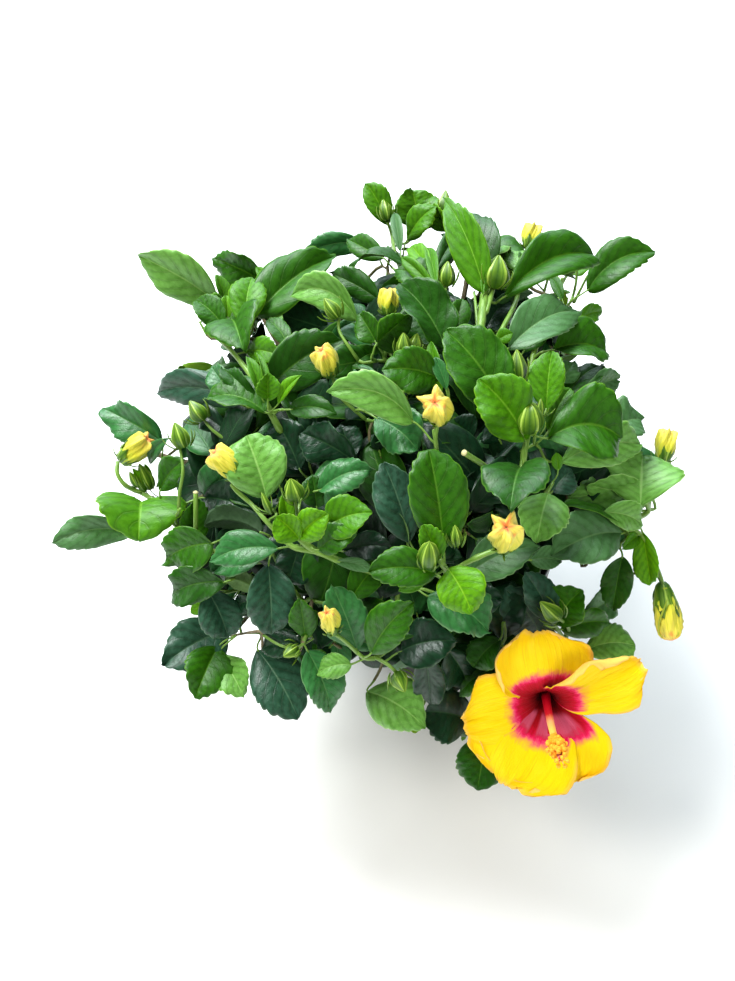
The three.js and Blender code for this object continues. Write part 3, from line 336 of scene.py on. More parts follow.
# The stems (foot, bend, top, radii) and boughs (start, bend, end, radii) as the frame has them.
STEMS = {
    "stem_left": (((-34, 8, 160), (-44, 12, 205), (-66, 18, 246)), (6.5, 5.0)),
    "stem_back": (((2, 34, 160), (0, 44, 206), (-8, 62, 250)), (6.5, 5.0)),
    "stem_right": (((38, 2, 160), (46, 2, 205), (58, 6, 248)), (6.0, 4.8)),
    "stem_front": (((-2, -34, 160), (-6, -44, 203), (-14, -66, 240)), (6.5, 5.0)),
}
BOUGHS = {
    "bough_top_left": ("stem_left", (-140, 55, 330), "leaves_top_left", 4.4),
    "bough_left": ("stem_left", (-120, -20, 308), "leaves_left_mid", 4.0),
    "bough_sprig": ("stem_left", (-160, -8, 268), "leaves_sprig_upper", 4.0),
    "bough_top": ("stem_back", (-2, 100, 335), "leaves_top_mid", 4.4),
    "bough_back": ("stem_back", (-30, 90, 285), "leaves_back", 4.0),
    "bough_upper": ("stem_back", (-30, 42, 330), "leaves_centre_high", 4.0),
    "bough_top_right": ("stem_right", (72, 18, 320), "leaves_right_upper", 4.2),
    "bough_right": ("stem_right", (104, -30, 300), "leaves_right_mid", 4.0),
    "bough_flower": ("stem_front", (22, -118, 252), None, 3.8),
    "bough_front": ("stem_front", (-22, -94, 310), "leaves_heart", 4.0),
    "bough_low_left": ("stem_front", (-90, -110, 268), "leaves_low_left_mid", 3.8),
}
FLOWER_AT = np.array([62.0, -211.0, 238.0])
FLOWER_FACES = np.array([-0.09, -0.88, 0.47]) / np.linalg.norm([-0.09, -0.88, 0.47])


# ---------------------------------------------------------------- mesh bins
class Bin:
    """Collects many small meshes, in millimetres, and joins them into one piece."""

    def __init__(self):
        self.v, self.q, self.quv, self.t, self.tuv, self.flat, self.n = [], [], [], [], [], [], 0

    def add(self, verts, quads, uvs, flat=None, tris=None, tri_uvs=None):
        verts = np.asarray(verts, float).reshape(-1, 3)
        self.v.append(verts)
        if len(quads):
            self.q.append(np.asarray(quads, int) + self.n)
            self.quv.append(np.asarray(uvs, float))
            self.flat.append(np.zeros(len(quads), bool) if flat is None else flat)
        if tris is not None and len(tris):
            self.t.append(np.asarray(tris, int) + self.n)
            self.tuv.append(np.asarray(tri_uvs, float))
        self.n += len(verts)

    def count(self):
        return 2 * sum(len(q) for q in self.q) + sum(len(t) for t in self.t)

    def make(self, name, material, slot, replaces=(), smooth=True):
        v = np.concatenate(self.v) * MM
        quads = np.concatenate(self.q) if self.q else np.zeros((0, 4), int)
        quv = np.concatenate(self.quv).reshape(-1, 2) if self.q else np.zeros((0, 2))
        flat = np.concatenate(self.flat) if self.q else np.zeros(0, bool)
        tris = np.concatenate(self.t) if self.t else np.zeros((0, 3), int)
        tuv = np.concatenate(self.tuv).reshape(-1, 2) if self.t else np.zeros((0, 2))
        me = bpy.data.meshes.new(name)
        loops = np.concatenate([quads.ravel(), tris.ravel()])
        me.vertices.add(len(v))
        me.vertices.foreach_set("co", v.astype(np.float32).ravel())
        me.loops.add(len(loops))
        me.loops.foreach_set("vertex_index", loops.astype(np.int32))
        starts = np.concatenate([np.arange(len(quads)) * 4, 4 * len(quads) + np.arange(len(tris)) * 3])
        me.polygons.add(len(starts))
        me.polygons.foreach_set("loop_start", starts.astype(np.int32))
        me.update(calc_edges=True)
        sm = np.concatenate([~flat, np.ones(len(tris), bool)]) & smooth
        me.polygons.foreach_set("use_smooth", sm)
        layer = me.uv_layers.new(name="OFBake")
        layer.data.foreach_set("uv", np.concatenate([quv, tuv]).astype(np.float32).ravel())
        me.validate()
        me.update()
        ob = bpy.data.objects.new(name, me)
        bpy.context.scene.collection.objects.link(ob)
        ob.data.materials.append(material)
        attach(ob, "root")
        if replaces:
            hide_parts(*replaces)
        return ob


def unit(v):
    v = np.asarray(v, float)
    return v / max(np.linalg.norm(v), 1e-9)


def grid_quads(rows, cols, wrap=False):
    """Quads of a rows x cols sheet of points, and the corner each quad corner stands at."""
    r, c = np.meshgrid(np.arange(rows - 1), np.arange(cols if wrap else cols - 1), indexing="ij")
    r, c = r.ravel(), c.ravel()
    c2 = (c + 1) % cols if wrap else c + 1
    quads = np.stack([r * cols + c, r * cols + c2, (r + 1) * cols + c2, (r + 1) * cols + c], -1)
    at = np.stack([np.stack([r, c], -1), np.stack([r, c + 1], -1), np.stack([r + 1, c + 1], -1), np.stack([r + 1, c], -1)], 1)
    return quads, at


def spline(points, n):
    """n points along a smooth curve through the given ones, evenly spaced by length."""
    p = np.asarray(points, float)
    if len(p) == 2:
        return p[0] + (p[1] - p[0]) * np.linspace(0, 1, n)[:, None]
    ext = np.vstack([2 * p[0] - p[1], p, 2 * p[-1] - p[-2]])
    out = []
    for i in range(1, len(ext) - 2):
        t = np.linspace(0, 1, 12, endpoint=False)[:, None]
        a, b, c, d = ext[i - 1], ext[i], ext[i + 1], ext[i + 2]
        out.append(0.5 * (2 * b + (c - a) * t + (2 * a - 5 * b + 4 * c - d) * t ** 2 + (3 * b - a - 3 * c + d) * t ** 3))
    out = np.vstack(out + [p[-1:]])
    s = np.concatenate([[0], np.cumsum(np.linalg.norm(np.diff(out, axis=0), axis=1))])
    at = np.linspace(0, s[-1], n)
    return np.stack([np.interp(at, s, out[:, k]) for k in range(3)], -1)


def frames(path):
    """A side and an up direction at each point of a path, turned as little as possible."""
    tan = np.gradient(path, axis=0)
    tan /= np.maximum(np.linalg.norm(tan, axis=1)[:, None], 1e-9)
    side = unit(np.cross(tan[0], [0.31, 0.2, 0.93] if abs(tan[0][2]) < 0.9 else [1, 0.1, 0]))
    sides = []
    for t in tan:
        side = unit(side - t * (side @ t))
        sides.append(side)
    sides = np.array(sides)
    return tan, sides, np.cross(tan, sides)


def tube(bin_, path, radii, sides=8, relief=None, caps=(True, True), uv_len=40.0):
    """A round limb along path, in mm. relief(angle, along, radius) gives how far the surface stands out."""
    path = np.asarray(path, float)
    radii = np.broadcast_to(np.asarray(radii, float), (len(path),))
    tan, sx, sy = frames(path)
    ang = np.arange(sides) * 2 * np.pi / sides
    run = np.concatenate([[0], np.cumsum(np.linalg.norm(np.diff(path, axis=0), axis=1))])
    rr = np.repeat(radii[:, None], sides, 1)
    if relief is not None:
        rr = rr + relief(ang[None, :], run[:, None], radii[:, None])
    ring = path[:, None] + rr[..., None] * (np.cos(ang)[None, :, None] * sx[:, None] + np.sin(ang)[None, :, None] * sy[:, None])
    quads, at = grid_quads(len(path), sides, wrap=True)
    uv = np.empty(at.shape, float)
    uv[..., 0] = 0.02 + 0.96 * at[..., 1] / sides
    tv = run / uv_len
    r_lo = at[:, 0, 0]
    # each ring of faces keeps its own stretch of the pattern inside the tile
    base = np.floor(np.minimum(tv[r_lo], tv[r_lo + 1]) + 1e-6)
    uv[..., 1] = np.clip(tv[at[..., 0]] - base[:, None], 0, 1) * 0.96 + 0.02
    verts = [ring.reshape(-1, 3)]
    tris, tuv = [], []
    n = len(path) * sides
    for end, want in ((0, caps[0]), (1, caps[1])):
        if not want:
            continue
        row = 0 if end == 0 else (len(path) - 1) * sides
        tip = path[0] - tan[0] * radii[0] * 0.5 if end == 0 else path[-1] + tan[-1] * radii[-1] * 0.5
        verts.append(tip[None])
        for k in range(sides):
            a, b = row + k, row + (k + 1) % sides
            tris.append((n, b, a) if end == 0 else (n, a, b))
            tuv.append(((0.5, 0.5), (0.52, 0.5), (0.5, 0.52)))
        n += 1
    bin_.add(np.vstack(verts), quads, uv, None, tris, tuv)


# ---------------------------------------------------------------- the leaf
VEINS = 6.5           # side veins on each half
SWEEP = 0.30          # how far a side vein runs towards the tip on its way to the margin
_templates = {}


def leaf_template(rows, cells):
    key = (rows, cells)
    if key not in _templates:
        cols = cells + 1
        half = cells // 2
        pos = np.linspace(0, 1, half + 1) ** 0.9
        if half >= 4:
            pos = {4: np.array([0, 0.08, 0.42, 0.80, 1.0]), 5: np.array([0, 0.06, 0.30, 0.58, 0.85, 1.0]), 6: np.array([0, 0.05, 0.24, 0.48, 0.72, 0.90, 1.0])}.get(half, pos)
        u = np.concatenate([-pos[:0:-1], pos])
        quads, at = grid_quads(rows, cols)
        v = np.linspace(0, 1, rows)
        uv_top = np.stack([0.02 + 0.46 * (u[at[..., 1]] + 1) / 2, 0.02 + 0.96 * v[at[..., 0]]], -1)
        uv_bot = uv_top + np.array([0.5, 0.0])
        n = rows * cols
        rim, rim_uv = [], []
        edge = [r * cols for r in range(rows)]
        loop = edge + [(rows - 1) * cols + c for c in range(1, cols)] + [r * cols + cols - 1 for r in range(rows - 2, -1, -1)] + [c for c in range(cols - 2, 0, -1)]
        for i, a in enumerate(loop):
            b = loop[(i + 1) % len(loop)]
            rim.append((a, b, b + n, a + n))
            va, vb = v[a // cols], v[b // cols]
            rim_uv.append(((0.490, 0.02 + 0.96 * va), (0.490, 0.02 + 0.96 * vb + (0.004 if va == vb else 0)), (0.498, 0.02 + 0.96 * vb + (0.004 if va == vb else 0)), (0.498, 0.02 + 0.96 * va)))
        # the underside's faces are split along the same diagonals as the upper side's
        back = [2, 1, 0, 3]
        all_quads = np.concatenate([quads, quads[:, back] + n, np.array(rim)])
        all_uv = np.concatenate([uv_top, uv_bot[:, back], np.array(rim_uv)])
        flat = np.concatenate([np.zeros(2 * len(quads), bool), np.ones(len(rim), bool)])
        _templates[key] = (u, v, all_quads, all_uv, flat)
    return _templates[key]


def blade(bin_, foot, tip, normal, width, fold, arch, rng, rows=26, cells=12, quilt=0.7, wave=1.0, teeth=1.0, blunt=0.0, curl=None, twist=None, bow_side=None):
    """One toothed leaf blade, as a thin closed shell. normal is the way its upper side faces."""
    u, v, quads, uv, flat = leaf_template(rows, cells)
    foot, tip = np.asarray(foot, float), np.asarray(tip, float)
    length = max(np.linalg.norm(tip - foot), 1.0)
    a = (tip - foot) / length
    n = unit(normal - a * (normal @ a))
    s = np.cross(a, n)
    twist = rng.uniform(-0.45, 0.45) if twist is None else twist
    curl = rng.uniform(-0.04, 0.26) if curl is None else curl
    au = np.abs(u)[None, :]
    su = np.sign(u)[None, :]
    # outline, a little fuller on one side
    e0, e1 = 0.72 + rng.uniform(-0.10, 0.16), 1.00 - blunt + rng.uniform(-0.14, 0.14)
    peak = e0 / (e0 + e1)
    prof = (v ** e0) * ((1 - v) ** e1) / (peak ** e0 * (1 - peak) ** e1)
    prof = np.maximum(prof, 0.02 + 0.05 * (v < 0.01))
    side_gain = 1 + rng.uniform(-0.07, 0.07) * su
    hw = 0.5 * width * prof[:, None] * side_gain
    # teeth: rounded, leaning to the tip, none near the foot
    live = np.clip((v - 0.24) / 0.16, 0, 1) * np.clip((1.0 - v) / 0.04, 0, 1)
    def teeth_on(ph):
        saw = np.mod(8.0 * v + 0.25 * np.sin(7 * v + 6 * ph) + ph, 1.0)
        big = 1 + 0.40 * np.sin(5.1 * v + ph * 9)
        return np.sin(np.pi * saw ** 1.35) ** 0.75 * big
    pt = rng.uniform(0, 1, 2)
    tooth = np.where(su > 0, teeth_on(pt[0])[:, None], teeth_on(pt[1])[:, None])
    edge_w = au ** 7
    amp = teeth * rng.uniform(0.5, 1.1) * live[:, None] * 0.060 * width * 0.5
    d = au * hw + edge_w * (tooth - 0.55) * amp
    lean = edge_w * tooth * live[:, None] * teeth * 0.022 * length
    along = v[:, None] + 0.07 * au ** 1.6 * np.sin(np.pi * v)[:, None]
    y = along * length + lean
    # cross section
    ph = math.radians(fold)
    x = d * (1 - 0.5 * (1 - math.cos(ph)))
    h = hw * math.sin(ph) * (1.25 * au - 0.45 * au ** 2.2)
    h = h - curl * hw * au ** 4
    # between two side veins the blade swells; along each vein it is creased
    swollen = np.abs(np.sin(np.pi * VEINS * (v[:, None] - SWEEP * au))) ** 0.8 - 0.6
    taper = np.clip(au / 0.25, 0, 1) * (1 - 0.75 * au ** 3) * np.clip(v / 0.08, 0, 1)[:, None] * np.clip((1 - v) / 0.1, 0, 1)[:, None]
    h = h + quilt * swollen * taper * min(1.0, width / 40.0)
    wave = wave * rng.uniform(0.6, 1.6)
    for k, amp_k in ((0.8, 1.0), (1.5, 0.8), (2.6, 0.45)):
        p1, p2 = rng.uniform(0, 6.28, 2)
        h = h + wave * amp_k * 0.047 * width * au ** 2 * np.sin(2 * np.pi * k * v[:, None] + np.where(su > 0, p1, p2))
    # midrib curve
    sag = length * math.radians(arch) / 8.0
    bow = 4 * sag * v * (1 - v) * (1 + 0.35 * (2 * v - 1))
    centre = foot[None] + a[None] * 0 + n[None] * bow[:, None]
    slope = np.gradient(bow, v * length)
    tan = a[None] + n[None] * slope[:, None]
    tan /= np.linalg.norm(tan, axis=1)[:, None]
    nv = n[None] - tan * (tan @ n)[:, None]
    nv /= np.linalg.norm(nv, axis=1)[:, None]
    sv = np.cross(tan, nv)
    tw = twist * (v - 0.25)
    s2 = sv * np.cos(tw)[:, None] + nv * np.sin(tw)[:, None]
    n2 = nv * np.cos(tw)[:, None] - sv * np.sin(tw)[:, None]
    extra = y - v[:, None] * length
    centre = centre + a[None] * (v * length)[:, None]
    if bow_side is not None:
        centre = centre + bow_side[None] * (4 * v * (1 - v))[:, None]
    P = centre[:, None] + s2[:, None] * (x * su)[..., None] + n2[:, None] * h[..., None] + tan[:, None] * extra[..., None]
    # thickness, thinnest at the margin, with the midrib standing out below
    thick = 0.42 - 0.2 * au ** 2 + 0 * v[:, None]
    rib = 0.75 * np.exp(-(au / 0.05) ** 2) * (1 - 0.75 * v[:, None])
    sunk = 0.32 * np.exp(-(au / 0.05) ** 2) * (1 - 0.6 * v[:, None])
    top = P + n2[:, None] * (thick * 0.5 - sunk)[..., None]
    low = P - n2[:, None] * (thick * 0.5 + rib)[..., None]
    bin_.add(np.concatenate([top.reshape(-1, 3), low.reshape(-1, 3)]), quads, uv, flat)
    return P


def eye_normal(foot, tip, roll):
    """The way a leaf faces: towards the eye, then rolled about its own length."""
    foot, tip = np.asarray(foot, float), np.asarray(tip, float)
    a = unit(tip - foot)
    v = EYE - 0.5 * (foot + tip)
    n0 = unit(v - a * (v @ a))
    f = math.radians(roll)
    return n0 * math.cos(f) + np.cross(a, n0) * math.sin(f)


# ---------------------------------------------------------------- growing twigs
class Limbs:
    """Points on everything that has grown so far. New twigs start from the nearest of them."""

    def __init__(self):
        self.p, self.r, self.d = np.zeros((0, 3)), np.zeros(0), np.zeros((0, 3))

    def add(self, path, radii):
        path = np.asarray(path, float)
        tan = np.gradient(path, axis=0)
        tan /= np.maximum(np.linalg.norm(tan, axis=1)[:, None], 1e-9)
        self.p = np.vstack([self.p, path])
        self.r = np.concatenate([self.r, np.broadcast_to(radii, (len(path),))])
        self.d = np.vstack([self.d, tan])

    def nearest(self, target, way=None):
        to = target - self.p
        dist = np.linalg.norm(to, axis=1)
        cost = dist.copy()
        # a twig leaves its limb forwards, and outwards from the middle of the plant
        with np.errstate(invalid="ignore", divide="ignore"):
            ahead = np.einsum("ij,ij->i", to, self.d) / np.maximum(dist, 1e-6)
        cost = dist * (1.0 + 0.35 * np.clip(-ahead + 0.2, 0, 1.2))
        if way is not None:
            cost = cost + 0.25 * dist * np.clip(-(to @ way) / np.maximum(dist, 1e-6), 0, 1)
        i = int(np.argmin(cost))
        return i, dist[i]


limbs = Limbs()


def grow(bin_, target, r_end, rng, way=None, start=None, sides=7, register=True, r_start=None):
    """A twig from the nearest limb to target. It leaves along the limb and arrives along way."""
    target = np.asarray(target, float)
    i, dist = limbs.nearest(target, way)
    p0 = limbs.p[i] if start is None else np.asarray(start, float)
    if dist < 1.0 and start is None:
        return p0
    span = np.linalg.norm(target - p0)
    d0 = unit(limbs.d[i] * 0.55 + unit(target - p0) * 0.75 + rng.normal(0, 0.10, 3))
    d1 = unit(target - p0) if way is None else way
    c1 = p0 + d0 * span * 0.38
    c2 = target - d1 * span * 0.34
    n = max(5, int(span / 7) + 2)
    t = np.linspace(0, 1, n)[:, None]
    path = (1 - t) ** 3 * p0 + 3 * (1 - t) ** 2 * t * c1 + 3 * (1 - t) * t ** 2 * c2 + t ** 3 * target
    r0 = min(limbs.r[i] * 0.85, max(r_end * 1.15, r_end + span * 0.012)) if r_start is None else r_start
    r0 = max(r0, r_end)
    radii = r0 + (r_end - r0) * t[:, 0]
    tube(bin_, path, radii, sides=sides)
    if register:
        limbs.add(path[1:], radii[1:])
    return p0


# ---------------------------------------------------------------- spindles: buds, calyxes, stamens
def spindle(bin_, foot, axis, z, r, sides=20, swell=None, uv_v=None, lift=None, spin=0.0, centre_drop=0.0):
    """Rings of radius r at heights z along axis. swell(angle, row) scales a ring, lift(angle, row) moves it along the axis."""
    foot, axis = np.asarray(foot, float), unit(axis)
    X = unit(np.cross(axis, [0.3, 0.9, 0.31]))
    Y = np.cross(axis, X)
    ang = np.arange(sides) * 2 * np.pi / sides + spin
    rows = len(z)
    rr = np.repeat(np.asarray(r, float)[:, None], sides, 1)
    zz = np.repeat(np.asarray(z, float)[:, None], sides, 1)
    for i in range(rows):
        if swell is not None:
            rr[i] = rr[i] * swell(ang - spin, i)
        if lift is not None:
            zz[i] = zz[i] + lift(ang - spin, i)
    P = foot + rr[..., None] * (np.cos(ang)[None, :, None] * X + np.sin(ang)[None, :, None] * Y) + zz[..., None] * axis
    quads, at = grid_quads(rows, sides, wrap=True)
    vv = np.linspace(0, 1, rows) if uv_v is None else np.asarray(uv_v, float)
    uv = np.stack([0.02 + 0.96 * at[..., 1] / sides, 0.02 + 0.96 * vv[at[..., 0]]], -1)
    bin_.add(P.reshape(-1, 3), quads, uv)


def seed_ball(bin_, at, r, squash=(1, 1, 1), rng=None, sides=7, rows=5, uv_v=0.5, rough=0.0):
    """A small closed grain."""
    th = np.linspace(0.12, math.pi - 0.12, rows)
    ang = np.arange(sides) * 2 * np.pi / sides
    P = np.stack([np.sin(th)[:, None] * np.cos(ang)[None], np.sin(th)[:, None] * np.sin(ang)[None], np.repeat(np.cos(th)[:, None], sides, 1)], -1) * r
    if rough and rng is not None:
        P = P * (1 + rng.uniform(-rough, rough, P.shape[:2])[..., None])
    P = P * np.asarray(squash)
    if rng is not None:
        q = rng.normal(0, 1, 4)
        q /= np.linalg.norm(q)
        w, x, y, z = q
        R = np.array([[1 - 2 * (y * y + z * z), 2 * (x * y - z * w), 2 * (x * z + y * w)], [2 * (x * y + z * w), 1 - 2 * (x * x + z * z), 2 * (y * z - x * w)], [2 * (x * z - y * w), 2 * (y * z + x * w), 1 - 2 * (x * x + y * y)]])
        P = P @ R.T
    quads, at_ = grid_quads(rows, sides, wrap=True)
    n = rows * sides
    top = P[0].mean(0) + (P[0].mean(0)) * 0.02
    bot = P[-1].mean(0) * 1.02
    verts = np.vstack([P.reshape(-1, 3), top[None], bot[None]]) + np.asarray(at, float)
    tris = [(k, (k + 1) % sides, n) for k in range(sides)]
    tris = [(b, a, c) for a, b, c in tris] + [((rows - 1) * sides + k, (rows - 1) * sides + (k + 1) % sides, n + 1) for k in range(sides)]
    uv = np.stack([0.02 + 0.96 * at_[..., 1] / sides, np.full(at_.shape[:2], uv_v) + 0.02 * at_[..., 0] / rows], -1)
    tuv = [((0.3, uv_v), (0.34, uv_v), (0.3, uv_v + 0.02))] * len(tris)
    bin_.add(verts, quads[:, ::-1], uv[:, ::-1], None, tris, tuv)


def bracts(bin_, foot, axis, length, out, count, rng, width=1.5, spread=(38, 62)):
    """The ring of narrow bracts under a bud."""
    axis = unit(axis)
    X = unit(np.cross(axis, [0.3, 0.9, 0.31]))
    Y = np.cross(axis, X)
    turn = rng.uniform(0, 6.28)
    for k in range(count):
        th = turn + 2 * math.pi * k / count + rng.uniform(-0.15, 0.15)
        rad = math.cos(th) * X + math.sin(th) * Y
        lean = math.radians(rng.uniform(*spread))
        ln = length * rng.uniform(0.8, 1.15)
        a = foot + rad * out * 0.6 - axis * 0.4
        b = a + ln * (rad * math.sin(lean) + axis * math.cos(lean))
        blade(bin_, a, b, axis - 0.5 * rad, width * rng.uniform(0.9, 1.2), 24, -58, rng, rows=7, cells=2, quilt=0, wave=0, teeth=0, twist=0, curl=0)


def star5(ang, turn=0.0, sharp=1.25):
    return (1 - np.abs(np.sin(2.5 * (ang - turn)))) ** sharp


def green_bud(foot, tip, width, rng, kind):
    axis = tip - foot
    length = np.linalg.norm(axis)
    axis = unit(axis)
    t = np.linspace(0, 1, 13)
    if kind == "small":
        shape = (np.sin(np.pi * np.clip(t, 0.02, 1) ** 0.8)) ** 0.8 + 0.06
        spindle(bins["buds"], foot, axis, t * length, width / 2 * shape * (1 - 0.15 * t), 12, swell=lambda a, i: 1 + 0.07 * np.cos(5 * a))
        bracts(bins["buds"], foot + axis * length * 0.1, axis, length * 0.8, width * 0.3, 5, rng, 1.2)
        return
    shape = np.interp(t, [0, 0.06, 0.18, 0.36, 0.55, 0.75, 0.9, 1.0], [0.34, 0.62, 0.88, 1.0, 0.92, 0.62, 0.30, 0.05])
    if kind == "bigs":
        shape = np.interp(t, [0, 0.06, 0.2, 0.42, 0.62, 0.82, 0.94, 1.0], [0.34, 0.66, 0.94, 1.0, 0.92, 0.66, 0.36, 0.05])
    ribs = 0.11 if kind == "bigs" else 0.16
    bend = rng.uniform(-0.15, 0.15)
    spindle(bins["buds"], foot, axis, t * length, width / 2 * shape, 40,
            swell=lambda a, i: 1 + ribs * (1 - t[i] * 0.2) * (0.75 - 1.5 * np.abs(np.sin(2.5 * (a - bend * t[i]))) ** 0.75) + 0.02 * np.cos(20 * a),
            lift=lambda a, i: length * 0.03 * star5(a, 0.0, 1.0) * (1.0 if i > 9 else 0.0))
    n = 6 if kind == "pale" else 8
    bracts(bins["buds"], foot + axis * length * 0.02, axis, length * (0.72 if kind != "bigs" else 0.50), width * 0.62, n, rng, 1.9, (8, 40))


def yellow_bud(foot, tip, width, rng, kind):
    """Petals rolled out of a green cup: a ragged five-pointed mouth, or a long closed roll on the hanging one."""
    axis = tip - foot
    length = np.linalg.norm(axis)
    axis = unit(axis)
    hang = kind == "hang"
    if hang:
        z = np.array([0.10, 0.22, 0.34, 0.46, 0.58, 0.70, 0.80, 0.88, 0.94, 0.975, 1.0])
        r = np.array([0.34, 0.40, 0.46, 0.52, 0.54, 0.53, 0.50, 0.44, 0.34, 0.22, 0.04])
        vv = np.linspace(0, 0.92, len(z))
        amp = np.interp(np.arange(len(z)), [0, 3, 7, 10], [0.02, 0.10, 0.16, 0.30])
        turn = 2.0
    else:
        z = np.array([0.04, 0.18, 0.34, 0.50, 0.64, 0.76, 0.86, 0.93, 0.98, 1.0, 0.99, 0.96, 0.94])
        r = np.array([0.28, 0.38, 0.46, 0.50, 0.49, 0.46, 0.42, 0.38, 0.31, 0.22, 0.14, 0.07, 0.02])
        if kind == "star":
            r = r * np.array([1, 1, 1, 1, 1.0, 1.03, 1.08, 1.14, 1.18, 1.15, 1.1, 1.0, 1.0])
        vv = np.array([0, 0.1, 0.2, 0.3, 0.4, 0.5, 0.58, 0.66, 0.74, 0.82, 0.90, 0.96, 1.0])
        amp = np.array([0.0, 0.05, 0.10, 0.14, 0.17, 0.20, 0.24, 0.30, 0.34, 0.32, 0.30, 0.2, 0.0])
        if kind == "star":
            amp = amp * 1.25
        turn = 0.8
    zf = z / z.max()

    uneven = rng.uniform(-0.10, 0.10, 2)

    def swell(a, i):
        f = star5(a, turn * zf[i], 1.0)
        k = 1 + uneven[0] * np.cos(a + 1.1) + uneven[1] * np.cos(2 * a + 0.4)
        pleat = np.abs(np.sin(5.0 * (a - 1.5 * turn * zf[i]) + 0.8 * np.sin(3 * a)))
        return k * (1 + amp[i] * (f * 1.9 - 0.70) + 0.22 * (pleat - 0.5) * min(1.0, 2 * amp[i] / 0.14))

    def lift(a, i):
        if hang:
            return 0 * a
        f = star5(a, turn * zf[i], 1.2)
        rag = 0.75 + 0.45 * np.sin(a * 2 + 1.0 + spin) + 0.2 * np.sin(a * 7 + spin)
        return length * (0.09 * f * rag - 0.03) * (1.0 if 6 <= i <= 9 else 0.3 if i > 9 else 0.0)

    spin = rng.uniform(0, 6.28)
    r = r * (1.0 if hang else 0.80)
    spindle(bins["furled"], foot, axis, z * length, r * width, 60, swell, vv, lift, spin)
    if hang:
        # loose margins wound round the roll
        for k in range(3):
            a0 = spin + k * 2.1
            X = unit(np.cross(axis, [0.3, 0.9, 0.31]))
            Y = np.cross(axis, X)
            t = np.linspace(0.30, 0.94, 12)
            rad = np.interp(t, z, r) * width * 1.05
            th = a0 + t * 2.6
            path = foot + axis * (t * length)[:, None] + rad[:, None] * (np.cos(th)[:, None] * X + np.sin(th)[:, None] * Y)
            tube(bins["furled"], path, np.interp(t, [0.3, 0.6, 0.94], [0.5, 1.0, 0.5]), sides=6, uv_len=200)
    # the green cup and its teeth
    top = 0.46 if hang else (0.38 if kind == "yel" else 0.30)
    zr = np.array([0.0, 0.05, 0.16, 0.28, 0.40]) * (top / 0.40)
    rc = np.interp(zr, z, r) + 0.035
    rc[0], rc[1] = 0.16, 0.30
    zo = np.concatenate([zr, zr[::-1][:-1]])
    ro = np.concatenate([rc, (rc - 0.035)[::-1][:-1]])
    k_top = len(zr) - 1

    def cup_lift(a, i):
        w = 1.0 if i in (k_top, k_top + 1) else (0.35 if i in (k_top - 1, k_top + 2) else 0.0)
        return length * w * (0.30 * star5(a, 0.5, 1.0) - 0.08)

    spindle(bins["buds"], foot, axis, zo * length, ro * width, 30, lambda a, i: 1 + 0.03 * np.cos(5 * (a - 0.5)), np.concatenate([zr, zr[::-1][:-1]]) * 2, cup_lift, spin)
    bracts(bins["buds"], foot + axis * length * 0.03, axis, length * (0.34 if hang else 0.42), width * 0.20, 7, rng, 1.6, (8, 28) if hang else (38, 62))


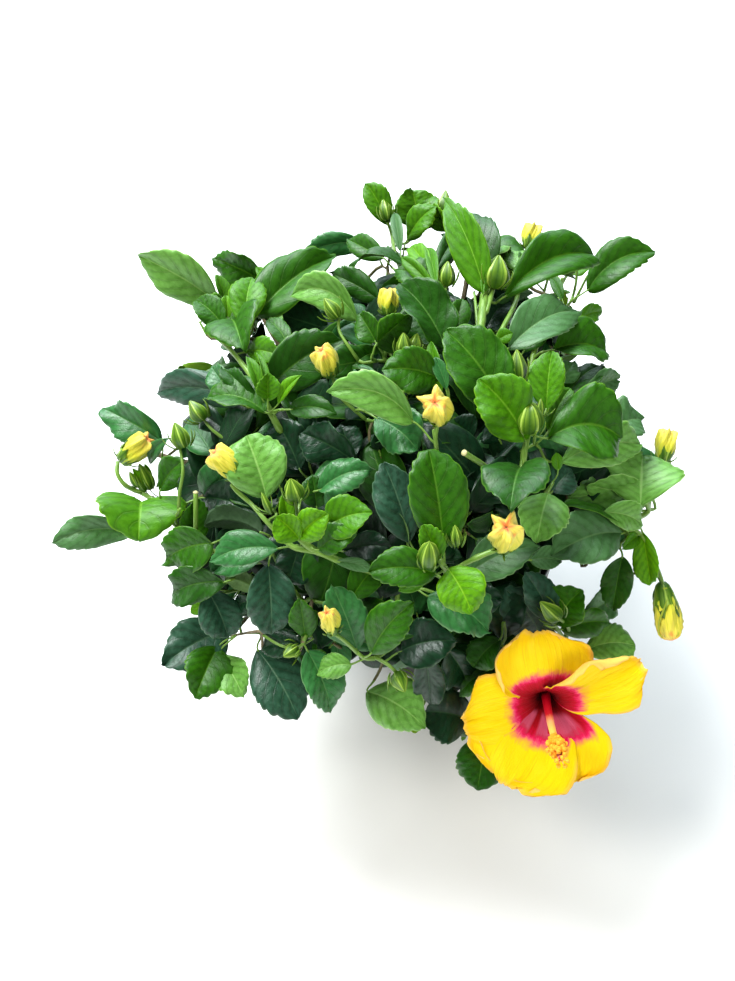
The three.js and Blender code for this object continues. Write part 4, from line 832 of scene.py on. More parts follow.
# ---------------------------------------------------------------- the open flower
def petal(bin_, azimuth, length, width, flare, rng, rows=40, cells=36, lift=(0.0, 3.2), ruffle=1.0, rolled=(0, 0), tip_bend=0.0, spread=1.0, eye=0.55, waist=0.0, cut=0.0):
    """One petal. u runs from its clockwise margin to the other one, v from the throat to the far end."""
    u = np.linspace(-1, 1, cells + 1)
    v = np.linspace(0, 1, rows)
    A = FLOWER_FACES
    up = unit(np.array([0, 0, 1.0]) - A * A[2])
    right = np.cross(up, A)
    th = math.radians(azimuth)
    rad = math.cos(th) * right + math.sin(th) * up
    tang = -math.sin(th) * right + math.cos(th) * up
    psi = np.radians(np.interp(v, [0, 0.12, 0.30, 0.55, 0.8, 1.0], [16, 30, flare - 16, flare, flare + 4, flare + 8 + tip_bend]))
    step = length / (rows - 1)
    dirs = A[None] * np.cos(psi)[:, None] + rad[None] * np.sin(psi)[:, None]
    line = np.vstack([[0, 0, 0], np.cumsum(0.5 * (dirs[1:] + dirs[:-1]) * step, axis=0)]) + FLOWER_AT - A * 9 + rad * 2.2
    nor = A[None] * np.sin(psi)[:, None] - rad[None] * np.cos(psi)[:, None]
    half = 0.5 * width * np.interp(v, [0, 0.1, 0.22, 0.35, 0.5, 0.62, 0.72, 0.82, 0.90, 0.96, 1.0], [0.12, 0.26, 0.50, 0.76, 0.93, 1.0, 1.0, 0.96, 0.84, 0.67, 0.46]) * spread
    half = half * (1 - waist * np.exp(-((v - 0.46) / 0.20) ** 2))
    au = np.abs(u)
    back = 0.09 * v[:, None] ** 3 * au[None] ** 2.2 + 0.07 * v[:, None] ** 8 * au[None] ** 2
    back = back + cut * v[:, None] ** 3 * np.clip(u, 0, 1)[None] ** 1.6
    p = rng.uniform(0, 6.28, 8)
    scallop = 0.015 * v[:, None] ** 6 * (np.sin(7 * u[None] + p[5]) + 0.6 * np.sin(13 * u[None] + p[6]) + 0.35 * np.sin(27 * u[None] + p[7]))
    x = half[:, None] * u[None]
    y = (-back + scallop) * length
    edge = np.maximum(au[None] ** 5 * np.clip(v[:, None] * 1.4 - 0.35, 0, 1), v[:, None] ** 9)
    along = v[:, None] * 5.2 * np.sign(u)[None] + u[None] * 3.4
    h = ruffle * edge * (1.9 * np.sin(along * 2.1 + p[0]) + 1.0 * np.sin(along * 4.6 + p[1]) + 0.5 * np.sin(along * 9.0 + p[4]))
    h = h + 2.6 * v[:, None] ** 2 * np.sin(2.6 * u[None] + p[2]) + 1.4 * v[:, None] ** 1.5 * np.sin(6.0 * u[None] + p[3])
    h = h + np.where(u < 0, -u * lift[0], u * lift[1])[None] * np.clip(v[:, None] * 1.8, 0, 1)
    h = h + 0.12 * half[:, None] * au[None] ** 2
    fan = np.pi * u[None] * 7.5 + 0.8 * np.sin(v[:, None] * 4 + p[7])
    h = h + 1.4 * np.clip(v[:, None] * 2.5 - 0.2, 0, 1) * (np.abs(np.cos(fan)) - 0.6) * (1 - au[None] ** 4)
    # a margin rolled over towards the middle
    for side, amount in zip((-1, 1), rolled):
        if amount:
            w = np.clip((u * side - 0.74) / 0.26, 0, 1)[None] * np.clip((v[:, None] - 0.26) / 0.3, 0, 1) * np.clip((1 - v[:, None]) / 0.28, 0, 1)
            turn = w * math.radians(200)
            x = x - side * (half[:, None] * np.clip(u * side - 0.74, 0, 1)[None]) * (w > 0) * 0.9 + side * amount * np.sin(turn)
            h = h + amount * (1 - np.cos(turn))
    P = line[:, None] + tang[None, None] * x[..., None] + dirs[:, None] * y[..., None] + nor[:, None] * h[..., None]
    n = np.cross(np.gradient(P, axis=1), np.gradient(P, axis=0))
    n /= np.maximum(np.linalg.norm(n, axis=-1, keepdims=True), 1e-9)
    if (n.reshape(-1, 3) @ A).mean() < 0:
        n = -n
    top, low = P + n * 0.25, P - n * 0.25
    cols = cells + 1
    quads, at = grid_quads(rows, cols)
    # the pattern is drawn in or out along the petal so that its eye ends where this petal's eye does
    drawn = np.interp(v, [0, eye, 1], [0, 0.55, 1])
    uv_top = np.stack([0.02 + 0.46 * at[..., 1] / cells, 0.02 + 0.96 * drawn[at[..., 0]]], -1)
    # the sheet's corners run anticlockwise seen from the face
    e1 = top[1, 1] - top[0, 0]
    e2 = top[1, 0] - top[0, 1]
    face_n = np.cross(top[rows // 2, cells // 2 + 1] - top[rows // 2, cells // 2], top[rows // 2 + 1, cells // 2] - top[rows // 2, cells // 2])
    order = 1 if face_n @ A > 0 else -1
    m = rows * cols
    loop = [r * cols for r in range(rows)] + [(rows - 1) * cols + c for c in range(1, cols)] + [r * cols + cols - 1 for r in range(rows - 2, -1, -1)] + [c for c in range(cols - 2, 0, -1)]
    rim = np.array([(a, b, b + m, a + m) for a, b in zip(loop, loop[1:] + loop[:1])])
    rim_uv = np.array([((0.490, 0.02 + 0.96 * (a // cols) / (rows - 1)), (0.490, 0.025 + 0.96 * (b // cols) / (rows - 1)), (0.498, 0.025 + 0.96 * (b // cols) / (rows - 1)), (0.498, 0.02 + 0.96 * (a // cols) / (rows - 1))) for a, b in zip(loop, loop[1:] + loop[:1])])
    if order > 0:
        q = np.concatenate([quads, quads[:, [2, 1, 0, 3]] + m, rim])
        uv = np.concatenate([uv_top, uv_top[:, [2, 1, 0, 3]] + np.array([0.5, 0]), rim_uv])
    else:
        q = np.concatenate([quads[:, [2, 1, 0, 3]], quads + m, rim[:, ::-1]])
        uv = np.concatenate([uv_top[:, [2, 1, 0, 3]], uv_top + np.array([0.5, 0]), rim_uv[:, ::-1]])
    flat = np.concatenate([np.zeros(2 * len(quads), bool), np.ones(len(rim), bool)])
    bin_.add(np.concatenate([top.reshape(-1, 3), low.reshape(-1, 3)]), q, uv, flat)


# ---------------------------------------------------------------- materials
def lin(r, g, b):
    """A colour given as 0-255 sRGB, as the linear values the shader takes."""
    f = lambda c: c / 255 / 12.92 if c / 255 <= 0.04045 else ((c / 255 + 0.055) / 1.055) ** 2.4
    return (f(r), f(g), f(b), 1.0)


class Look:
    """A procedural material: a Principled shader with helpers to build its pattern."""

    def __init__(self, name, rough=0.5, specular=0.5, coat=0.0, coat_rough=0.2, sheen=0.0, subsurface=0.0):
        self.m = bpy.data.materials.new(name)
        self.m.use_nodes = True
        self.nt = self.m.node_tree
        self.nt.nodes.clear()
        out = self.nt.nodes.new("ShaderNodeOutputMaterial")
        self.b = self.nt.nodes.new("ShaderNodeBsdfPrincipled")
        self.nt.links.new(self.b.outputs[0], out.inputs[0])
        self.b.inputs["Roughness"].default_value = rough
        self.b.inputs["Specular IOR Level"].default_value = specular
        self.b.inputs["Coat Weight"].default_value = coat
        self.b.inputs["Coat Roughness"].default_value = coat_rough
        if sheen:
            self.b.inputs["Sheen Weight"].default_value = sheen
            self.b.inputs["Sheen Roughness"].default_value = 0.5
        if subsurface:
            self.b.inputs["Subsurface Weight"].default_value = subsurface
            self.b.inputs["Subsurface Scale"].default_value = 0.002

    def put(self, socket, value):
        if isinstance(value, Val):
            value = value.s
        if isinstance(value, bpy.types.NodeSocket):
            self.nt.links.new(value, socket)
        else:
            socket.default_value = value

    def math(self, op, *args, clamp=False):
        n = self.nt.nodes.new("ShaderNodeMath")
        n.operation = op
        n.use_clamp = clamp
        for s, a in zip(n.inputs, args):
            self.put(s, a)
        return Val(self, n.outputs[0])

    def uv(self):
        n = self.nt.nodes.new("ShaderNodeUVMap")
        n.uv_map = "OFBake"
        sep = self.nt.nodes.new("ShaderNodeSeparateXYZ")
        self.nt.links.new(n.outputs[0], sep.inputs[0])
        return Val(self, sep.outputs[0]), Val(self, sep.outputs[1])

    def place(self):
        n = self.nt.nodes.new("ShaderNodeTexCoord")
        return n.outputs["Object"]

    def vec(self, x, y, z=0.0):
        n = self.nt.nodes.new("ShaderNodeCombineXYZ")
        for s, a in zip(n.inputs, (x, y, z)):
            self.put(s, a)
        return n.outputs[0]

    def noise(self, vec, scale, detail=3.0, rough=0.5, distortion=0.0):
        n = self.nt.nodes.new("ShaderNodeTexNoise")
        self.put(n.inputs["Vector"], vec)
        n.inputs["Scale"].default_value = scale
        n.inputs["Detail"].default_value = detail
        n.inputs["Roughness"].default_value = rough
        n.inputs["Distortion"].default_value = distortion
        return Val(self, n.outputs[0])

    def cells(self, vec, scale, feature="DISTANCE_TO_EDGE"):
        n = self.nt.nodes.new("ShaderNodeTexVoronoi")
        n.feature = feature
        self.put(n.inputs["Vector"], vec)
        n.inputs["Scale"].default_value = scale
        return Val(self, n.outputs["Distance"])

    def ramp(self, fac, *stops):
        n = self.nt.nodes.new("ShaderNodeValToRGB")
        e = n.color_ramp.elements
        e[0].position, e[0].color = stops[0]
        e[1].position, e[1].color = stops[-1]
        for pos, col in stops[1:-1]:
            x = e.new(pos)
            x.color = col
        self.put(n.inputs[0], fac)
        return n.outputs[0]

    def mix(self, fac, a, b):
        n = self.nt.nodes.new("ShaderNodeMix")
        n.data_type = "RGBA"
        n.clamp_factor = True
        self.put(n.inputs[0], fac)
        self.put(n.inputs[6], a)
        self.put(n.inputs[7], b)
        return n.outputs[2]

    def step(self, x, lo, hi):
        """0 below lo, 1 above hi, smooth between."""
        n = self.nt.nodes.new("ShaderNodeMapRange")
        n.interpolation_type = "SMOOTHSTEP"
        self.put(n.inputs[0], x)
        n.inputs[1].default_value, n.inputs[2].default_value = lo, hi
        n.inputs[3].default_value, n.inputs[4].default_value = 0.0, 1.0
        return Val(self, n.outputs[0])

    def bump(self, height, strength, distance):
        n = self.nt.nodes.new("ShaderNodeBump")
        n.inputs["Strength"].default_value = strength
        n.inputs["Distance"].default_value = distance
        self.put(n.inputs["Height"], height)
        self.nt.links.new(n.outputs[0], self.b.inputs["Normal"])

    def color(self, c):
        self.put(self.b.inputs["Base Color"], c)

    def roughness(self, r):
        self.put(self.b.inputs["Roughness"], r)


class Val:
    def __init__(self, look, s):
        self.l, self.s = look, s

    def __add__(self, o): return self.l.math("ADD", self, o)
    def __radd__(self, o): return self.l.math("ADD", o, self)
    def __sub__(self, o): return self.l.math("SUBTRACT", self, o)
    def __rsub__(self, o): return self.l.math("SUBTRACT", o, self)
    def __mul__(self, o): return self.l.math("MULTIPLY", self, o)
    def __rmul__(self, o): return self.l.math("MULTIPLY", o, self)
    def __truediv__(self, o): return self.l.math("DIVIDE", self, o)
    def __pow__(self, o): return self.l.math("POWER", self, o)
    def abs(self): return self.l.math("ABSOLUTE", self)
    def sin(self): return self.l.math("SINE", self)
    def fract(self): return self.l.math("FRACT", self)
    def gt(self, o): return self.l.math("GREATER_THAN", self, o)
    def clip(self): return self.l.math("ADD", self, 0.0, clamp=True)


def leaf_look(kind, top, top2, vein, under, rough, coat, veins=0.55, specular=0.5):
    L = Look("leaf_" + kind, rough=rough, coat=coat, coat_rough=0.22, specular=specular)
    U, V = L.uv()
    low = U.gt(0.5)
    u = (U - low * 0.5 - 0.25) / 0.23
    v = (V - 0.02) / 0.96
    au = u.abs()
    turn = (v - au * SWEEP) * VEINS
    near = ((turn + 0.5).fract() - 0.5).abs()
    side = (1.0 - L.step(near + au * 0.02, 0.015, 0.075)) * (1.0 - au * 0.55)
    mid = 1.0 - L.step(au, 0.012, 0.055)
    lines = L.math("MAXIMUM", side * 0.75, mid)
    net = L.cells(L.vec(u * 1.6, v * 4.2), 7.0)
    mottle = L.noise(L.vec(u * 1.3, v * 3.4), 3.2, 4.0, 0.6)
    body = L.mix(L.step(mottle, 0.35, 0.72), top, top2)
    # painted light: between the side veins the blade swells, and there its colour is lightened as a painted highlight
    swell = L.step(near, 0.10, 0.5)
    body = L.mix(swell * 0.45, body, top2)
    # painted shade: along the creases of the side veins the colour is darkened
    body = L.mix((1.0 - L.step(near, 0.03, 0.18)) * 0.42, body, tuple(c * 0.55 for c in top[:3]) + (1.0,))
    body = L.mix((side * 0.30 * veins + mid * 0.75 * veins).clip(), body, vein)
    body = L.mix(L.step(au, 0.945, 0.99) * 0.60, body, vein)
    bottom = L.mix((lines * 0.75).clip(), under, tuple(min(1.0, c * 1.45) for c in under[:3]) + (1.0,))
    bottom = L.mix(L.step(mottle, 0.4, 0.7) * 0.25, bottom, top)
    rim = L.math("MULTIPLY", U.gt(0.485), 1.0 - U.gt(0.505))
    col = L.mix(low, body, bottom)
    col = L.mix(rim * 0.8, col, vein)
    L.color(col)
    L.roughness((rough + (mottle - 0.5) * 0.16 + low * 0.28 + lines * 0.06).clip())
    L.bump(L.step(net, 0.0, 0.35) * 0.25 - lines * 0.8 + mottle * 0.3, 0.45, 0.0006)
    return L.m


LEAF_KINDS = {
    #      upper side         lighter parts      veins              under side         rough coat specular
    "Y": ((66, 122, 0), (88, 146, 0), (128, 174, 24), (112, 150, 14), 0.50, 0.0, 0.34),
    "B": ((52, 106, 0), (70, 128, 2), (112, 162, 30), (96, 134, 18), 0.48, 0.0, 0.40),
    "M": ((30, 78, 0), (44, 98, 2), (90, 140, 30), (76, 110, 20), 0.47, 0.0, 0.42),
    "D": ((22, 66, 2), (32, 82, 8), (80, 126, 40), (64, 98, 26), 0.46, 0.0, 0.44),
    # T: its teal tint is partly painted sky sheen on a dark green leaf
    "T": ((34, 92, 38), (50, 112, 54), (100, 148, 84), (70, 104, 44), 0.44, 0.0, 0.62),
    "K": ((9, 40, 20), (18, 58, 32), (58, 96, 56), (42, 70, 36), 0.42, 0.0, 0.62),
    # N: its darker colours are painted shade for the leaves inside the crown
    "N": ((7, 36, 14), (13, 50, 22), (44, 82, 42), (34, 60, 28), 0.50, 0.0, 0.34),
    "P": ((80, 134, 42), (106, 160, 70), (156, 198, 110), (112, 150, 44), 0.48, 0.0, 0.55),
    # S and G: their slate and grey-blue tints are partly painted sky sheen
    "S": ((24, 58, 38), (42, 82, 60), (84, 118, 86), (60, 90, 60), 0.46, 0.0, 0.58),
    "G": ((54, 98, 44), (72, 116, 66), (112, 150, 94), (88, 120, 62), 0.50, 0.0, 0.55),
}


def leaf_materials():
    out = {}
    for k, (a, b, c, d, rough, coat, spec) in LEAF_KINDS.items():
        out[k] = leaf_look(k, lin(*a), lin(*b), lin(*c), lin(*d), rough, coat, 0.55, spec)
    return out


def twig_look():
    L = Look("green_twig", rough=0.42, coat=0.08)
    U, V = L.uv()
    n = L.noise(L.vec(U * 3.0, V * 1.2), 4.0, 4.0, 0.6)
    fine = L.noise(L.vec(U * 22.0, V * 2.0), 3.0, 2.0, 0.5)
    col = L.mix(L.step(n, 0.35, 0.68), lin(92, 132, 44), lin(122, 158, 70))
    col = L.mix(L.step(fine, 0.55, 0.75) * 0.35, col, lin(104, 92, 52))
    L.color(col)
    L.bump(fine, 0.3, 0.0003)
    return L.m


def woody_look():
    L = Look("woody_twig", rough=0.66, specular=0.3)
    U, V = L.uv()
    n = L.noise(L.vec(U * 3.0, V * 1.2), 4.0, 4.0, 0.6)
    fine = L.noise(L.vec(U * 20.0, V * 2.4), 3.0, 2.0, 0.5)
    col = L.mix(L.step(n, 0.35, 0.68), lin(74, 78, 42), lin(100, 88, 62))
    col = L.mix(L.step(fine, 0.55, 0.75) * 0.4, col, lin(58, 48, 34))
    L.color(col)
    L.bump(fine, 0.4, 0.0004)
    return L.m


def bark_look():
    L = Look("bark", rough=0.78, specular=0.35)
    U, V = L.uv()
    n = L.noise(L.vec(U * 3.0, V * 1.5), 3.0, 5.0, 0.65)
    ridge = L.noise(L.vec(U * 16.0, V * 2.2), 2.2, 4.0, 0.6, 0.6)
    dots = 1.0 - L.step(L.cells(L.vec(U * 7.0, V * 9.0), 1.4, "F1"), 0.05, 0.16)
    col = L.mix(L.step(n, 0.3, 0.7), lin(118, 104, 78), lin(150, 138, 110))
    col = L.mix((1.0 - L.step(ridge, 0.36, 0.52)) * 0.7, col, lin(74, 62, 46))
    col = L.mix(L.step(n, 0.60, 0.78) * 0.5, col, lin(112, 124, 70))
    col = L.mix(dots * 0.7, col, lin(178, 168, 142))
    L.color(col)
    L.roughness((0.72 + (n - 0.5) * 0.3).clip())
    L.bump(ridge + dots * 0.4, 0.6, 0.0012)
    return L.m


def bud_look():
    L = Look("bud_green", rough=0.46, coat=0.10)
    U, V = L.uv()
    rib = ((U - 0.02) * (5.0 / 0.96) * 6.28318).sin()
    n = L.noise(L.vec(U * 6.0, V * 5.0), 3.0, 3.0, 0.6)
    valley = (((U - 0.02) * (5.0 / 0.96)).fract() - 0.5).abs() * 2.0
    col = L.mix(L.step(V, 0.10, 0.95), lin(74, 116, 16), lin(122, 156, 40))
    # painted shade: the colour is darkened in the grooves between the ribs
    col = L.mix((1.0 - L.step(valley, 0.0, 0.80)) * 0.8, col, lin(44, 84, 12))
    # painted highlight: the crests of the ribs are painted paler
    col = L.mix(L.step(valley, 0.80, 0.98) * 0.75, col, lin(168, 196, 84))
    seam = (((U - 0.02) * (15.0 / 0.96)).fract() - 0.5).abs() * 2.0
    col = L.mix((1.0 - L.step(seam, 0.10, 0.34)) * 0.70, col, lin(40, 80, 14))
    col = L.mix(L.step(n, 0.5, 0.75) * 0.3, col, lin(80, 124, 38))
    L.color(col)
    L.bump(n, 0.25, 0.0004)
    return L.m


def furled_look():
    L = Look("furled_petals", rough=0.55, sheen=0.15)
    U, V = L.uv()
    wave = L.noise(L.vec(U * 9.0, V * 2.2), 2.4, 4.0, 0.6)
    fine = L.noise(L.vec(U * 46.0, V * 3.0), 2.0, 2.0, 0.5)
    col = L.ramp(V + (wave - 0.5) * 0.22,
                 (0.00, lin(130, 160, 30)), (0.18, lin(184, 198, 40)), (0.34, lin(216, 208, 56)), (0.58, lin(230, 216, 78)),
                 (0.76, lin(236, 208, 86)), (0.86, lin(244, 160, 78)), (0.93, lin(230, 84, 44)), (1.00, lin(150, 34, 22)))
    folds = L.noise(L.vec(U * 26.0, V * 0.8), 1.6, 3.0, 0.5)
    # painted shade: the colour is darkened and greened in the hollows of the folds, where the bump sinks
    col = L.mix((1.0 - L.step(folds, 0.38, 0.56)) * 0.60, col, lin(168, 172, 24))
    flush = L.noise(L.vec(U * 2.6, V * 1.3), 2.0, 2.0, 0.5)
    spots = L.noise(L.vec(U * 9.0, V * 7.0), 3.0, 3.0, 0.6)
    col = L.mix(L.step(spots, 0.58, 0.72) * L.step(V, 0.35, 0.6) * 0.45, col, lin(226, 150, 60))
    col = L.mix(L.step(fine, 0.52, 0.74) * 0.30, col, lin(246, 218, 110))
    col = L.mix(L.step(flush, 0.52, 0.66) * L.step(V, 0.46, 0.72) * 0.75, col, lin(238, 112, 52))
    L.color(col)
    L.bump(fine + wave * 0.6 + folds * 0.8, 0.6, 0.0010)
    return L.m


def petal_look(name, wedge):
    L = Look(name, rough=0.55, specular=0.22)
    U, V = L.uv()
    low = U.gt(0.5)
    u = (U - low * 0.5 - 0.25) / 0.23
    v = (V - 0.02) / 0.96
    au = u.abs()
    ray = L.noise(L.vec(u * 4.0, v * 0.7), 2.6, 4.0, 0.62)
    ray2 = L.noise(L.vec(u * 22.0, v * 0.9), 2.0, 3.0, 0.55)
    soft = L.noise(L.vec(u * 1.6, v * 1.6), 2.0, 3.0, 0.5)
    blot = L.noise(L.vec(u * 1.5, v * 3.0), 3.4, 3.0, 0.55)
    reach = v - (ray - 0.5) * 0.12 - (ray2 - 0.5) * 0.05 - (blot - 0.5) * 0.16 + au ** 1.7 * 0.15 + L.step(au, 0.78, 1.0) * 0.16
    eye = L.ramp(reach,
                 (0.00, lin(30, 0, 4)), (0.17, lin(76, 0, 4)), (0.27, lin(136, 0, 10)), (0.38, lin(172, 0, 24)),
                 (0.445, lin(194, 2, 40)), (0.49, lin(226, 20, 82)), (0.52, lin(238, 74, 116)), (0.57, lin(250, 176, 60)), (0.62, lin(252, 218, 0)),
                 (0.88, lin(252, 214, 0)), (1.00, lin(250, 200, 6)))
    if wedge:
        # a paler patch to each side of the fold down the middle of the eye
        patch = L.step(au, 0.04, 0.14) * (1.0 - L.step(au, 0.52, 0.70)) * L.step(v, 0.20, 0.28) * (1.0 - L.step(reach, 0.40, 0.50))
        eye = L.mix((patch * (0.80 + (ray - 0.5) * 0.8)).clip(), eye, lin(204, 84, 116))
    veins = L.step(ray2, 0.54, 0.74)
    col = L.mix(veins * L.step(v, 0.55, 0.66) * 0.62, eye, lin(240, 172, 0))
    col = L.mix(L.step(soft, 0.45, 0.7) * L.step(v, 0.5, 0.7) * 0.30, col, lin(255, 232, 40))
    rim = L.math("MAXIMUM", L.step(au, 0.90, 1.0), L.step(v, 0.95, 1.0))
    col = L.mix(rim * L.step(v, 0.45, 0.6) * 0.55, col, lin(255, 198, 100))
    col = L.mix(low * L.step(v, 0.2, 0.4) * 0.75, col, lin(255, 208, 110))
    L.color(col)
    L.bump(ray2 * 1.0 + ray * 0.7 + soft * 0.4, 0.60, 0.0014)
    return L.m


def column_look():
    L = Look("staminal_column", rough=0.5)
    U, V = L.uv()
    n = L.noise(L.vec(U * 5.0, V * 6.0), 3.0, 3.0, 0.5)
    col = L.ramp(V + (n - 0.5) * 0.06, (0.0, lin(90, 0, 12)), (0.25, lin(176, 0, 26)), (0.46, lin(204, 16, 44)), (0.56, lin(242, 176, 120)), (0.68, lin(255, 206, 96)), (1.0, lin(255, 190, 60)))
    L.color(col)
    L.bump(n, 0.2, 0.0003)
    return L.m


def anther_look():
    L = Look("anthers", rough=0.7)
    U, V = L.uv()
    n = L.noise(L.vec(U * 8.0, V * 8.0), 4.0, 3.0, 0.6)
    L.color(L.mix(L.step(n, 0.4, 0.65), lin(248, 156, 20), lin(255, 196, 60)))
    L.bump(n, 0.6, 0.0005)
    return L.m


def cut_look():
    L = Look("cut_wood", rough=0.7)
    U, V = L.uv()
    n = L.noise(L.vec(U * 6.0, V * 6.0), 4.0, 3.0, 0.6)
    L.color(L.mix(L.step(n, 0.4, 0.65), lin(196, 190, 132), lin(226, 220, 172)))
    L.bump(n, 0.3, 0.0003)
    return L.m


def pot_look():
    L = Look("pot_plastic", rough=0.42, specular=0.45)
    at = L.place()
    n = L.noise(at, 900.0, 3.0, 0.6)
    big = L.noise(at, 18.0, 4.0, 0.6)
    dust = L.step(big, 0.50, 0.72)
    col = L.mix(dust * 0.35, lin(26, 27, 29), lin(66, 64, 60))
    L.color(col)
    L.roughness((0.36 + dust * 0.22 + (n - 0.5) * 0.12).clip())
    L.bump(n * 0.7 + big * 0.3, 0.18, 0.0004)
    return L.m


def mix_look(name, a, b, c, scale):
    L = Look(name, rough=0.88, specular=0.3)
    at = L.place()
    n = L.noise(at, scale, 5.0, 0.65)
    m = L.noise(at, scale * 3.1, 3.0, 0.6)
    col = L.mix(L.step(n, 0.35, 0.66), lin(*a), lin(*b))
    col = L.mix(L.step(m, 0.58, 0.74) * 0.7, col, lin(*c))
    L.color(col)
    L.roughness((0.86 - L.step(n, 0.6, 0.75) * 0.2).clip())
    L.bump(n + m * 0.6, 0.7, 0.002)
    return L.m


# ---------------------------------------------------------------- growing the plant
bins = {k: Bin() for k in LEAF_KINDS}
for k in ("bark", "twigs", "buds", "furled", "petals", "column", "anthers", "petals_low", "woody", "cuts", "mix", "chips", "perlite", "pot"):
    bins[k] = Bin()

seed = np.random.default_rng(20261)


def bark_relief(rng):
    k = rng.uniform(0, 6.28, 6)

    def f(ang, run, r):
        ridges = np.sin(3 * ang + 0.05 * run + k[0]) * 0.5 + np.sin(7 * ang - 0.09 * run + k[1]) * 0.35 + np.sin(11 * ang + 0.16 * run + k[2]) * 0.25
        rings = np.exp(-((np.mod(run + k[3] * 6, 27.0) - 13.5) / 2.6) ** 2) * (0.6 + 0.4 * np.cos(ang - k[4]))
        lumps = np.sin(2 * ang + 0.31 * run + k[5]) * np.sin(0.13 * run + k[0])
        return r * (0.045 * ridges + 0.10 * rings + 0.05 * lumps)
    return f


def middle_of(node):
    lo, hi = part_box(node)
    return 1000 * 0.5 * np.array(lo + hi)


stem_tops = {}
for name, (pts, (ra, rb)) in STEMS.items():
    path = spline(pts, 46)
    t = np.linspace(0, 1, 46)
    radii = ra + (rb - ra) * t + 1.6 * np.exp(-t / 0.10)
    tube(bins["bark"], path, radii, sides=28, relief=bark_relief(seed), uv_len=60)
    limbs.add(path[10::2], radii[10::2])
    stem_tops[name] = (path, rb)

for name, (stem, bend, into, r0) in BOUGHS.items():
    spath, rb = stem_tops[stem]
    start = spath[-1] - unit(spath[-1] - spath[-4]) * 2.0
    end = FLOWER_AT - FLOWER_FACES * 26 if into is None else middle_of(into)
    first = start + (spath[-1] - spath[-8]) * 0.55
    path = spline((start, first, bend, end), 52)
    t = np.linspace(0, 1, 52)
    radii = r0 + (2.2 - r0) * t ** 0.8
    tube(bins["bark"], path, radii, sides=20, relief=bark_relief(seed), uv_len=60)
    limbs.add(path[4::2], radii[4::2])

# named shoots: the far end is where the first point is, the foot is the last
pending = sorted(SHOOTS, key=lambda s: limbs.nearest(np.array(s[1][-1], float))[1])
for name, pts, radii, kind in pending:
    pts = np.array(pts, float)[::-1]
    radii = np.array(radii, float)[::-1]
    way = unit(pts[1] - pts[0])
    rng = np.random.default_rng(sum(ord(c) * (i + 3) for i, c in enumerate(name)))
    grow(bins["twigs"], pts[0], radii[0], rng, way=way, sides=9)
    n = max(8, int(np.linalg.norm(np.diff(pts, axis=0), axis=1).sum() / 3.5))
    path = spline(pts, n)
    rr = np.interp(np.linspace(0, 1, n), np.linspace(0, 1, len(radii)), radii)
    knots = 1 + 0.12 * np.exp(-((np.mod(np.arange(n) * 3.5, 17.0) - 8.5) / 2.0) ** 2)
    tube(bins["bark" if kind == "b" else "twigs"], path, rr * knots, sides=10)
    limbs.add(path, rr)


def name_rng(name):
    return np.random.default_rng(sum(ord(c) * (7 * i + 3) for i, c in enumerate(name)) + 17)


stalk_jobs = []
for name, pts, radii, kind in STALKS:
    pts = np.array(pts, float)[::-1]
    stalk_jobs.append((limbs.nearest(pts[0])[1], name, pts, np.array(radii, float)[::-1], kind))
for dist, name, pts, radii, kind in sorted(stalk_jobs, key=lambda s: s[0]):
    rng = name_rng(name)
    grow(bins["twigs"], pts[0], radii[0], rng, way=unit(pts[1] - pts[0]), sides=8)
    n = max(6, int(np.linalg.norm(np.diff(pts, axis=0), axis=1).sum() / 3.5))
    path = spline(pts, n)
    rr = np.interp(np.linspace(0, 1, n), np.linspace(0, 1, len(radii)), radii)
    if kind != "s":
        rr = rr * (1 + 0.25 * np.exp(-((np.linspace(0, 1, n) - 0.55) / 0.03) ** 2))
    tube(bins["twigs"], path, rr, sides=9)
    limbs.add(path[: len(path) // 2], rr[: len(path) // 2])
    if kind == "s":
        end, way = path[-1], unit(path[-1] - path[-2])
        tube(bins["cuts"], np.array([end - way * 0.3, end + way * 0.9]), rr[-1] * 1.06, sides=12)

# leaf stalks and leaves that have a place of their own
def leaf_stalk(foot, start, way_leaf, rng, r=0.85):
    """The stalk of one leaf: from a point on a limb to the leaf's foot, arriving along the blade."""
    i, dist = limbs.nearest(start)
    if dist > 9:
        grow(bins["woody" if dist > 30 else "twigs"], start, 1.2, rng, way=unit(foot - start + 1e-6), sides=6)
        p0 = start
    else:
        p0 = limbs.p[i]
    span = np.linalg.norm(foot - p0)
    if span < 2:
        return
    c1 = p0 + unit(foot - p0 + rng.normal(0, 0.15, 3) * span) * span * 0.35
    c2 = foot - way_leaf * span * 0.35
    n = max(5, int(span / 4))
    t = np.linspace(0, 1, n)[:, None]
    path = (1 - t) ** 3 * p0 + 3 * (1 - t) ** 2 * t * c1 + 3 * (1 - t) * t ** 2 * c2 + t ** 3 * (foot + way_leaf * 1.5)
    rr = np.interp(t[:, 0], [0, 0.12, 0.85, 1], [r * 1.35, r * 0.95, r * 0.85, r * 1.05])
    tube(bins["twigs"], path, rr, sides=7)


